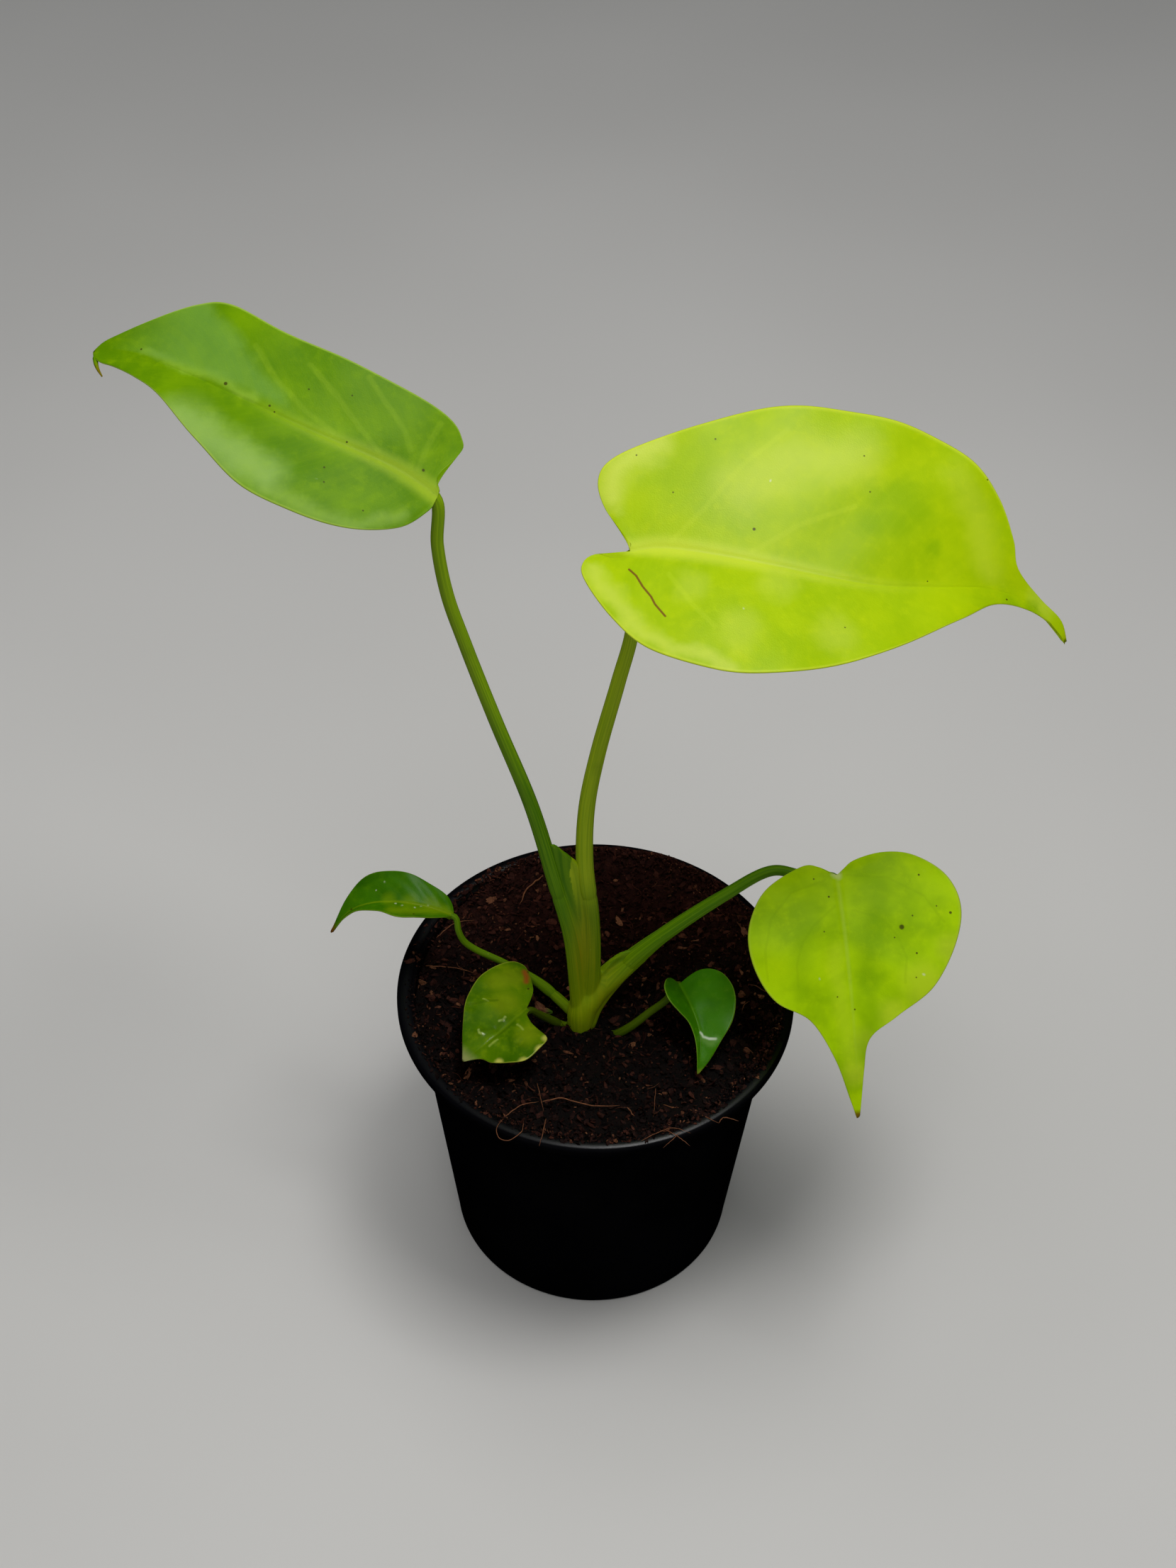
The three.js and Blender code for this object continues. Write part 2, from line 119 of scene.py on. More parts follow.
BLADES = {
    "tall_left": {
        "base": (-41, 1, 289), "heading": 163, "climb": 13, "roll": -24, "length": 92,
        "arch": 7, "hook": 3, "folds": (0.1, 0.1), "droop": 0.001,
        "rib": [(0, 0), (12, -1.5), (36, -1), (60, -2.5), (80, -4.5), (90, -4.4), (93.9, -3.5)],
        "left": [(0, 1.5), (0.5, 5), (5, 12.5), (15, 18.5), (29, 21), (43, 20), (58, 12.8), (72, 4.5),
                 (80, 1.4), (86, 0), (90.2, -0.5), (92.8, -1.8), (93.9, -3.4)],
        "right": [(0, -1.5), (2, -5), (-0.5, -12), (0, -16), (7, -20), (30, -21.5), (50, -22), (65, -24),
                  (73, -21.5), (83, -14.4), (89, -9.8), (92.4, -6.8), (93.9, -3.7)],
        "tip_hook": [(92.4, -1.8), (91.4, -0.2), (90.1, 1.2), (88.4, 2.6)],
        "rows": 161, "columns": 91, "quilt": (9, 0.10, 0.02),
        "waves": [(0.16, 46, 70, 0.8), (0.07, 23, -31, 2.1)], "frill": (0.14, 5, 1.0), "rib_radius": 1.5,
    },
    "tall_right": {
        "base": (6.5, 4, 270), "heading": -1, "climb": -13, "roll": 24, "length": 117,
        "arch": 8, "hook": 4, "folds": (0.2, 0.2), "droop": 0.0015,
        "rib": [(0, 0), (10, 2), (35, 1), (60, 0.5), (78, 4), (94, 8.2), (106, 8.2), (118, 2)],
        "left": [(0, 2), (-3, 5.5), (-8, 11.5), (-10.5, 18), (-8.5, 23.5), (0, 29.5), (13, 36), (30, 43),
                 (50, 45.5), (68, 44.8), (83, 40.5), (93, 32.5), (98.5, 23), (101, 16), (109, 11),
                 (116, 7.5), (118.5, 2.5)],
        "right": [(0, -2), (-4, -2.5), (-8, -1.5), (-11, -4), (-10.5, -9), (-3, -20), (7, -28),
                  (23.5, -31.8), (38, -30.3), (52, -25.5), (67, -17.3), (85, -4), (95, 4), (105, 6),
                  (113, 5), (118, 1.5)],
        "rows": 171, "columns": 105, "quilt": (9, 0.10, 0.02),
        "waves": [(0.2, 60, 90, 0.3), (0.1, 27, -38, 1.1)], "frill": (0.22, 7, 0.4), "rib_radius": 1.55,
    },
    "heart": {
        "base": (68.5, 1.5, 154), "heading": -83, "climb": -40, "roll": 0, "length": 70,
        "arch": 6, "hook": 0, "folds": (0.1, 0.1), "droop": 0.003,
        "rib": [(0, 0), (35, 0), (69.5, 0)],
        "left": [(0, 1.5), (-3.5, 5), (-5.5, 14), (-4, 23), (2, 31.3), (11, 34.5), (21, 32.2), (34, 23.8),
                 (41.5, 12.5), (47, 4.5), (56, 2.2), (69, 0.6)],
        "right": [(0, -1.5), (-2.5, -5), (-3, -10), (2.5, -20.7), (10, -26), (18, -28), (27, -26.3),
                  (35, -21.5), (41, -12.2), (52, -6.2), (64, -2.1), (69.5, -0.4)],
        "rows": 151, "columns": 91, "quilt": (7, 0.16, 0.03),
        "waves": [(0.2, 40, 52, 0.0), (0.12, 19, -24, 1.7)], "frill": (0.25, 5, 2.0), "rib_radius": 1.3,
    },
    "small_left": {
        "base": (-43, 8.5, 126), "heading": -176, "climb": -9, "roll": -8, "length": 37,
        "arch": 6, "hook": 0, "folds": (0.6, 0.3), "droop": 0,
        "rib": [(0, 0), (8, -2), (16, -3.7), (24, -4.6), (31, -3.8), (37, -0.2)],
        "left": [(0.3, 0.9), (3, 2.2), (10.5, 3.7), (16, 3), (22, -0.7), (28, -2.6), (33, -2), (36.8, 0.2)],
        "right": [(-0.5, -0.9), (0, -4), (1.5, -6.3), (5.2, -8.8), (10, -11.3), (16, -13), (22, -13.4),
                  (27, -12), (31.5, -8), (37.2, -0.6)],
        "rows": 101, "columns": 61, "quilt": (8, 0.1, 0.05),
        "waves": [(0.2, 22, 30, 0.5)], "frill": (0.2, 4, 0.0), "rib_radius": 0.9,
    },
    "bitten": {
        "base": (-20.5, -17, 113), "heading": -135, "climb": -9, "roll": 0, "length": 25,
        "arch": 2, "hook": 0, "folds": (0.1, 0.1), "droop": 0,
        "rib": [(-1, -0.6), (8, 0.5), (16, 0.6), (24.2, -1.2)],
        "left": [(-1.2, 0.6), (1.8, 2.4), (2.9, 7), (2.8, 11.6), (4.2, 13.6), (8, 14), (13, 13.6),
                 (17, 10.3), (19.6, 6.3), (20.6, 2.6), (24.2, -0.7)],
        "right": [(-2, -1.8), (-5.6, -3.3), (-8, -5.7), (-11.2, -11.4), (-11.5, -14.4), (-9.6, -17),
                  (-4, -18.2), (3, -17.4), (9.5, -14.8), (15.5, -10), (24.2, -1.7)],
        "rows": 101, "columns": 75, "quilt": (5, 0.1, 0.05),
        "waves": [(0.16, 13, 17, 0.5)], "frill": (0.3, 3, 0.0), "rib_radius": 1.0,
        "puckers": [(14.8, -3.2, 1.8, 0.5), (11, -0.6, 1.6, -0.45), (7, -1.8, 1.4, 0.4), (6, 4, 1.8, 0.4),
                    (14.7, 2.2, 1.5, 0.35), (6.5, -10, 1.6, 0.35), (11, -11.5, 2, -0.35), (1, -6, 2, 0.35),
                    (-4, -13, 2, 0.4), (9.5, 8.5, 2, -0.35)],
    },
    "small_right": {
        "base": (24.5, -10, 118), "heading": -78, "climb": -21, "roll": 0, "length": 28,
        "arch": 2, "hook": 0, "folds": (0.2, 1.2), "droop": 0,
        "rib": [(0, 0), (8, 1.8), (17, 2.6), (28, 0)],
        "left": [(-0.2, 0.9), (-1.8, 3.4), (-3.1, 6.6), (-2.7, 10), (-0.3, 13.2), (4, 14.9), (9.4, 14.6),
                 (15, 12.4), (20.2, 8), (24.8, 3.9), (27.9, 0.3)],
        "right": [(-0.5, -0.9), (-1.4, -2.8), (0, -4.7), (3.2, -6), (7.3, -5.6), (10.6, -3), (13.7, -0.4),
                  (18, 0.6), (23.2, 0.4), (28, -0.3)],
        "rows": 101, "columns": 61, "quilt": (6, 0.1, 0.04),
        "waves": [(0.15, 20, 25, 0.0)], "frill": (0.15, 4, 1.0), "rib_radius": 1.0,
    },
}

# Stalks, each from inside the stem base to just under its blade. "radii" pairs a distance along the
# stalk with the stalk's radius there, "join" is where it leaves the stem base, and "dark" is how much the
# thin low stalks are darkened towards olive brown: partly their own dull colour, partly painted shade
# where they lie low in the leaves' shadow.

STALKS = {
    "tall_left": {
        "path": [(-4.5, -12.5, 93), (-4.8, -13, 103), (-5.5, -13.2, 120), (-7.5, -12.5, 142),
                 (-11.5, -10.8, 160), (-18.5, -8, 190), (-28, -5.3, 220), (-35.5, -3, 245),
                 (-39.5, -1.7, 260), (-41.5, -0.3, 275)],
        "top": (0.4, 0, -1.8), "join": 68,
        "radii": [(0, 2.6), (45, 2.35), (68, 2.2), (120, 1.85), (200, 1.55)],
    },
    "tall_right": {
        "path": [(-3.5, -11.5, 93), (-3.2, -11.8, 103), (-1.5, -12, 125), (-1.9, -10.6, 148),
                 (-3.8, -8.2, 168), (-3.4, -5.8, 188), (-0.7, -3.6, 206), (4.4, -0.8, 230),
                 (7.6, 1, 246), (7.6, 2.4, 257)],
        "top": (0.5, 0, -3.2), "join": 66,
        "radii": [(0, 3), (35, 2.75), (66, 2.5), (120, 2.05), (180, 1.6)],
    },
    "heart": {
        "path": [(-3.5, -11.5, 94), (-2.5, -11.5, 103), (-0.5, -10.4, 110), (6, -8.2, 120),
                 (17.5, -6.7, 134), (36.3, -0.2, 146), (50.5, 5.6, 150.8), (59, 4.2, 150.6)],
        "top": (1, 0, -3), "join": 36,
        "radii": [(0, 3), (18, 3.5), (36, 3.0), (48, 2.2), (70, 1.75), (100, 1.35)],
    },
    "small_left": {
        "path": [(-4.5, -11, 95), (-6.5, -9, 101.5), (-13, -4.5, 106), (-19.1, 0, 107.5),
                 (-28, 4, 110), (-36.5, 5.7, 114), (-39.7, 6, 117.2), (-41.3, 6.8, 121)],
        "top": (-0.6, 0, -1.3), "join": 19, "dark": 0.15,
        "radii": [(0, 1.8), (19, 1.6), (32, 1.05), (55, 0.9)],
    },
    "bitten": {
        "path": [(-4.5, -12.5, 95), (-7.5, -12.6, 99.5), (-12.5, -13.4, 104), (-17, -14.8, 109)],
        "top": (-1.5, 0, -1.4), "join": 13, "dark": 0.75,
        "radii": [(0, 1.3), (13, 1.2), (22, 1.0)],
    },
    "small_right": {
        "path": [(-3, -12, 94), (1.5, -13.5, 98), (6.5, -15.8, 101.5), (10.6, -16.2, 105.5),
                 (16, -14.8, 110.5), (21, -13.2, 114.7)],
        "top": (-0.7, -0.3, -1.9), "join": 15, "dark": 0.6,
        "radii": [(0, 1.2), (15, 1.25), (30, 1.05)],
    },
}

# The heart leaf's sheath clasps the stem's front. Radii are paired with shares of its length.

HEART_SHEATH = {
    "path": [(-4.4, -12.4, 98), (-4.3, -12.7, 106), (-3.4, -12.4, 111), (0, -11, 116.5), (6, -8.8, 121.5),
             (13, -7.2, 128)],
    "radii": [(0, 3.4), (0.25, 4.3), (0.42, 4.5), (0.62, 3.9), (0.8, 3.3), (1, 2.5)],
}

# The skin that joins two stalks: its two side lines and its thickness from the lower end to the upper

TALL_WEB = ([(-5.5, -13.2, 108), (-5.5, -13.2, 120), (-7.5, -12.6, 142), (-11.5, -10.9, 160),
             (-13.6, -10, 177)],
            [(-1.5, -12.2, 108), (-1.5, -12.2, 125), (-1.9, -10.8, 148), (-4.2, -9.2, 166),
             (-12.2, -10, 177.4)],
            (3.8, 3.4, 2.8, 1.8, 0.9))
HEART_WEB = ([(-1.5, -11.5, 113), (4, -9.2, 120), (9, -7.6, 125.5), (12.6, -7, 128.6)],
             [(-1, -11.6, 121), (3, -9.6, 126), (7, -8.2, 129.4), (11.2, -7.4, 130.2)],
             (3.2, 2.2, 1.3, 1.0))

DRY_SHEATH_PATH = [(-17.5, -6.6, 103.8), (-15.8, -9.3, 103.5), (-13.2, -10.4, 104.3)]

# Loose coir fibres: points and a radius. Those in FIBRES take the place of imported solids.

FIBRES = {
    "fibre_front": ([(-15, -42.7, 103.4), (-10, -41.3, 103.2), (-4.4, -42.7, 103.1), (0, -43.7, 103.1),
                     (7.3, -43.6, 103.3)], 0.19),
    "fibre_rim": ([(-25.7, -48.7, 103.9), (-21.2, -44.3, 103.6), (-16.1, -42.7, 103.4)], 0.15),
    "fibre_right": ([(20, -43, 103.2), (22.8, -44.3, 103.6), (27.9, -45.5, 104), (32.9, -48.4, 104.2),
                     (35.7, -50.3, 104.6)], 0.16),
    "fibre_back": ([(-17, 44, 105), (-21.7, 38.7, 105), (-23.8, 32.4, 104.8)], 0.26),
    "fibre_left": ([(-52, 9.8, 101), (-49, 9.7, 100.9), (-42.6, 8.9, 101.2), (-35.8, 6.3, 101.6)], 0.15),
}

LOOSE_STRANDS = [
    ([(-16.7, -36.1, 103.4), (-15.7, -40.9, 103.5), (-14.6, -46, 103.4)], 0.11),
    ([(-20.1, -51.5, 104.6), (-20.8, -54.5, 104.6), (-24.4, -57.3, 104.5), (-26.8, -56.8, 104.5),
      (-27.8, -53.4, 104.6), (-25.7, -48.7, 104.1)], 0.13),
    ([(-13.9, -49.7, 104.6), (-14.6, -54.4, 104.6), (-15.5, -59, 104.4)], 0.12),
    ([(35.7, -50.3, 104.6), (37.1, -48.5, 104.8), (41.3, -49.4, 104.5)], 0.14),
    ([(20.6, -53, 104.4), (23.6, -55, 104.6), (27.3, -58.3, 104.4)], 0.12),
    ([(24.6, -53.7, 104.8), (21.5, -57.2, 104.6), (19.6, -59, 104.5)], 0.1),
    ([(13.5, -56.9, 104.6), (17.5, -54.3, 104.6), (22.6, -52.3, 104.7), (27.6, -53.9, 104.5)], 0.11),
    ([(17.7, -37.8, 103.8), (17.2, -46.6, 103.6)], 0.09),
    ([(9.5, -44.3, 103.4), (11.5, -47.5, 103.4)], 0.17),
    ([(-34.1, -42.5, 103.4), (-33.5, -47.5, 103.6), (-31.8, -50, 103.6)], 0.13),
    ([(-49.3, 21, 101.4), (-44, 26, 102.4), (-38, 27, 103)], 0.15),
    ([(30, 40, 105.6), (36, 33, 105.6), (40, 28, 105.4)], 0.15),
]


# Curves


def spline(points, knot, steps=24):
    """A dense smooth curve through the points. knot is 0.5 for a curve in space, 0 for a flat outline."""
    points = np.asarray(points, float)
    ends = [2 * points[0] - points[1], 2 * points[-1] - points[-2]]
    points = np.vstack([ends[0], points, ends[1]])
    t = np.linspace(0, 1, steps, endpoint=False)[:, None]
    pieces = []
    for a, b, c, d in zip(points, points[1:], points[2:], points[3:]):
        ab, bc, cd = (max(np.linalg.norm(q - p), 1e-6) ** knot for p, q in ((a, b), (b, c), (c, d)))
        leave = ((b - a) / ab - (c - a) / (ab + bc) + (c - b) / bc) * bc
        reach = ((c - b) / bc - (d - b) / (bc + cd) + (d - c) / cd) * bc
        pieces.append(b + leave * t + (3 * (c - b) - 2 * leave - reach) * t ** 2
                      + (2 * (b - c) + leave + reach) * t ** 3)
    return np.vstack(pieces + [points[-2]])


def lengths_along(points):
    return np.concatenate([[0], np.cumsum(np.linalg.norm(np.diff(points, axis=0), axis=1))])


def along(points, shares, knot=0):
    """Places at the given shares of the length of the smooth curve through the points."""
    dense = spline(points, knot)
    lengths = lengths_along(dense)
    wanted = np.asarray(shares) * lengths[-1]
    return np.stack([np.interp(wanted, lengths, dense[:, axis]) for axis in range(dense.shape[1])], 1)


def unit(vectors):
    return vectors / np.maximum(np.linalg.norm(vectors, axis=-1, keepdims=True), 1e-12)


def moving_frames(points):
    """Tangent and two side directions at each point, carried along the line without twist."""
    tangents = unit(np.gradient(points, axis=0))
    side = np.cross(tangents[0], (0, 0, 1) if abs(tangents[0][2]) < 0.9 else (0, 1, 0))
    sides = []
    for tangent in tangents:
        side = unit(side - tangent * np.dot(side, tangent))
        sides.append(side)
    sides = np.array(sides)
    return tangents, sides, np.cross(tangents, sides)


# Meshes


def make_piece(name, vertices, faces, materials, smooth=True):
    mesh = bpy.data.meshes.new(name)
    mesh.from_pydata((np.asarray(vertices) * MM).tolist(), [], faces)
    mesh.validate()
    if smooth:
        mesh.shade_smooth()
    piece = bpy.data.objects.new(name, mesh)
    bpy.context.scene.collection.objects.link(piece)
    for material in materials:
        mesh.materials.append(material)
    return piece


def paint_points(piece, name, values):
    """Stores one vector for each vertex, which the materials read by its name."""
    layer = piece.data.attributes.new(name, "FLOAT_VECTOR", "POINT")
    layer.data.foreach_set("vector", np.asarray(values, np.float32).ravel())


def seat(piece, slot, *nodes):
    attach(piece, "root")
    if nodes:
        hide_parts(*nodes)
    return piece


def grid_faces(rows, columns, first=0, closed=False):
    """Quads between rows of points; closed joins the last column to the first."""
    faces = []
    for i in range(rows - 1):
        for j in range(columns if closed else columns - 1):
            a = first + i * columns + j
            b = first + i * columns + (j + 1) % columns
            faces.append((a, b, b + columns, a + columns))
    return faces


def end_fans(low, high, last, sides):
    """Triangles from the point low to the first ring, and from the point high to the ring at last."""
    faces = []
    for j in range(sides):
        k = (j + 1) % sides
        faces.append((low, k, j))
        faces.append((high, last + j, last + k))
    return faces


def shifted(faces, first):
    return [tuple(int(i) + first for i in face) for face in faces]


def sweep(points, radii, sides=24, squash=None, cap=4):
    """A closed round bar along the points, with domed ends. Returns vertices, faces, angles, lengths."""
    points = np.asarray(points, float)
    radii = np.asarray(radii, float)
    tangents, sides_at, ups = moving_frames(points)
    dome = np.linspace(0, math.pi / 2, cap + 1)[:-1]
    front = [(points[0] - tangents[0] * radii[0] * math.cos(a), radii[0] * math.sin(a), 0) for a in dome[1:]]
    back = [(points[-1] + tangents[-1] * radii[-1] * math.cos(a), radii[-1] * math.sin(a), len(points) - 1)
            for a in dome[:0:-1]]
    rings = front + [(p, r, i) for i, (p, r) in enumerate(zip(points, radii))] + back
    angles = np.arange(sides) * TURN / sides
    vertices, around, lengths = [], [], []
    run = lengths_along(points)
    for centre, radius, i in rings:
        out = np.outer(np.cos(angles), sides_at[i]) + np.outer(np.sin(angles), ups[i])
        shape = np.ones(sides) if squash is None else squash(angles, run[i] / run[-1])
        vertices.append(centre + out * (radius * shape)[:, None])
        around.append(angles)
        lengths.append(np.full(sides, run[i]))
    vertices = np.vstack(vertices + [[points[0] - tangents[0] * radii[0]],
                                     [points[-1] + tangents[-1] * radii[-1]]])
    around = np.concatenate(around + [[0, 0]])
    lengths = np.concatenate(lengths + [[0, run[-1]]])
    count = len(rings)
    faces = grid_faces(count, sides, closed=True)
    faces += end_fans(count * sides, count * sides + 1, (count - 1) * sides, sides)
    return vertices, faces, around, lengths


def plain_mesh(piece):
    """Replaces a piece's mesh by what its modifiers make of it."""
    ready = piece.evaluated_get(bpy.context.evaluated_depsgraph_get())
    mesh = bpy.data.meshes.new_from_object(ready)
    piece.modifiers.clear()
    old = piece.data
    piece.data = mesh
    bpy.data.meshes.remove(old)
    return piece


# Materials


class Wire:
    """An output socket. Arithmetic on it adds the Math nodes that work the expression out."""

    def __init__(self, sheet, socket):
        self.sheet = sheet
        self.socket = socket

    def math(self, operation, *values):
        return self.sheet.add("ShaderNodeMath", {"operation": operation}, dict(enumerate(values)))

    def __add__(self, other):
        return self.math("ADD", self, other)

    def __radd__(self, other):
        return self.math("ADD", other, self)

    def __sub__(self, other):
        return self.math("SUBTRACT", self, other)

    def __rsub__(self, other):
        return self.math("SUBTRACT", other, self)

    def __mul__(self, other):
        return self.math("MULTIPLY", self, other)

    def __rmul__(self, other):
        return self.math("MULTIPLY", other, self)

    def __truediv__(self, other):
        return self.math("DIVIDE", self, other)

    def __pow__(self, other):
        return self.math("POWER", self, other)

    def size(self):
        return self.math("ABSOLUTE", self)

    def fraction(self):
        return self.math("FRACT", self)

    def lowest(self, other):
        return self.math("MINIMUM", self, other)

    def highest(self, other):
        return self.math("MAXIMUM", self, other)

    def fade(self, start, end):
        """0 up to start, then smoothly to 1 at end. start may be the larger."""
        if start > end:
            return 1 - self.fade(end, start)
        return self.sheet.add("ShaderNodeMapRange", {"interpolation_type": "SMOOTHSTEP"},
                              {0: self, 1: start, 2: end, 3: 0.0, 4: 1.0})


class Sheet:
    """A node tree under construction."""

    def __init__(self, tree):
        self.tree = tree

    def add(self, kind, settings=None, inputs=None, output=0):
        node = self.tree.nodes.new(kind)
        for name, value in (settings or {}).items():
            if name == "stops":
                self.set_stops(node.color_ramp, value)
            else:
                setattr(node, name, value)
        for key, value in (inputs or {}).items():
            self.put(node.inputs[key], value)
        return Wire(self, node.outputs[output])

    def put(self, socket, value):
        if isinstance(value, Wire):
            self.tree.links.new(value.socket, socket)
        else:
            socket.default_value = value

    def set_stops(self, ramp, stops):
        while len(ramp.elements) < len(stops):
            ramp.elements.new(1)
        for element, (place, colour) in zip(ramp.elements, stops):
            element.position = place
            element.color = colour

    def attribute(self, name):
        return self.add("ShaderNodeAttribute", {"attribute_name": name}, output="Vector")

    def axes(self, vector):
        return [self.add("ShaderNodeSeparateXYZ", None, {0: vector}, axis) for axis in range(3)]

    def vector(self, x, y, z):
        return self.add("ShaderNodeCombineXYZ", None, {0: x, 1: y, 2: z})

    def place(self):
        return self.add("ShaderNodeTexCoord", output="Object")

    def stretch(self, vector, scale):
        return self.add("ShaderNodeVectorMath", {"operation": "MULTIPLY"}, {0: vector, 1: scale})

    def noise(self, vector, scale, detail=3.0, rough=0.55, twist=0.0):
        return self.add("ShaderNodeTexNoise", {"noise_dimensions": "3D"},
                        {"Vector": vector, "Scale": scale, "Detail": detail, "Roughness": rough,
                         "Distortion": twist})

    def cells(self, vector, scale):
        return self.add("ShaderNodeTexVoronoi", {"feature": "F1"}, {"Vector": vector, "Scale": scale})

    def mix(self, share, one, other):
        """one where share is 0, other where it is 1."""
        return self.add("ShaderNodeMix", {"data_type": "RGBA"}, {0: share, 6: one, 7: other}, 2)

    def bump(self, height, depth_mm, strength=1.0, under=None):
        inputs = {"Height": height, "Distance": depth_mm * MM, "Strength": strength}
        if under is not None:
            inputs["Normal"] = under
        return self.add("ShaderNodeBump", None, inputs)

    def spots(self, u, v, places, soft=0.35):
        """A mask of round marks, each given as (u, v, radius) in millimetres."""
        total = None
        for mark_u, mark_v, radius in places:
            away = ((u - mark_u) ** 2.0 + (v - mark_v) ** 2.0) ** 0.5
            mark = away.fade(radius * (1 + soft), radius * (1 - soft))
            total = mark if total is None else total.highest(mark)
        return total

    def scratch(self, u, v, points, width, core=0.3):
        """A mask of a line through the points, in millimetres. Only the share core of its width is solid."""
        total = None
        for (u1, v1), (u2, v2) in zip(points, points[1:]):
            du, dv = u2 - u1, v2 - v1
            long = du * du + dv * dv
            share = (((u - u1) * du + (v - v1) * dv) / long).highest(0.0).lowest(1.0)
            away = ((u - u1 - share * du) ** 2.0 + (v - v1 - share * dv) ** 2.0) ** 0.5
            mark = away.fade(width, width * core)
            total = mark if total is None else total.highest(mark)
        return total


SKIN = {"Subsurface_Scale": 0.002, "Subsurface_Radius": (0.7, 1.0, 0.2)}


def new_material(name, **constants):
    """A material with a Principled shader. Returns it, its sheet and a function that feeds the shader."""
    material = bpy.data.materials.new(name)
    material.use_nodes = True
    sheet = Sheet(material.node_tree)
    shader = material.node_tree.nodes["Principled BSDF"]
    for key, value in constants.items():
        shader.inputs[key.replace("_", " ")].default_value = value

    def feed(**links):
        for key, value in links.items():
            sheet.put(shader.inputs[key.replace("_", " ")], value)

    return material, sheet, feed


def shade(red, green, blue):
    """A colour as a screen shows it, from 0 to 255, in the linear light that shaders use."""
    return tuple((c / 255) ** 2.2 for c in (red, green, blue)) + (1.0,)
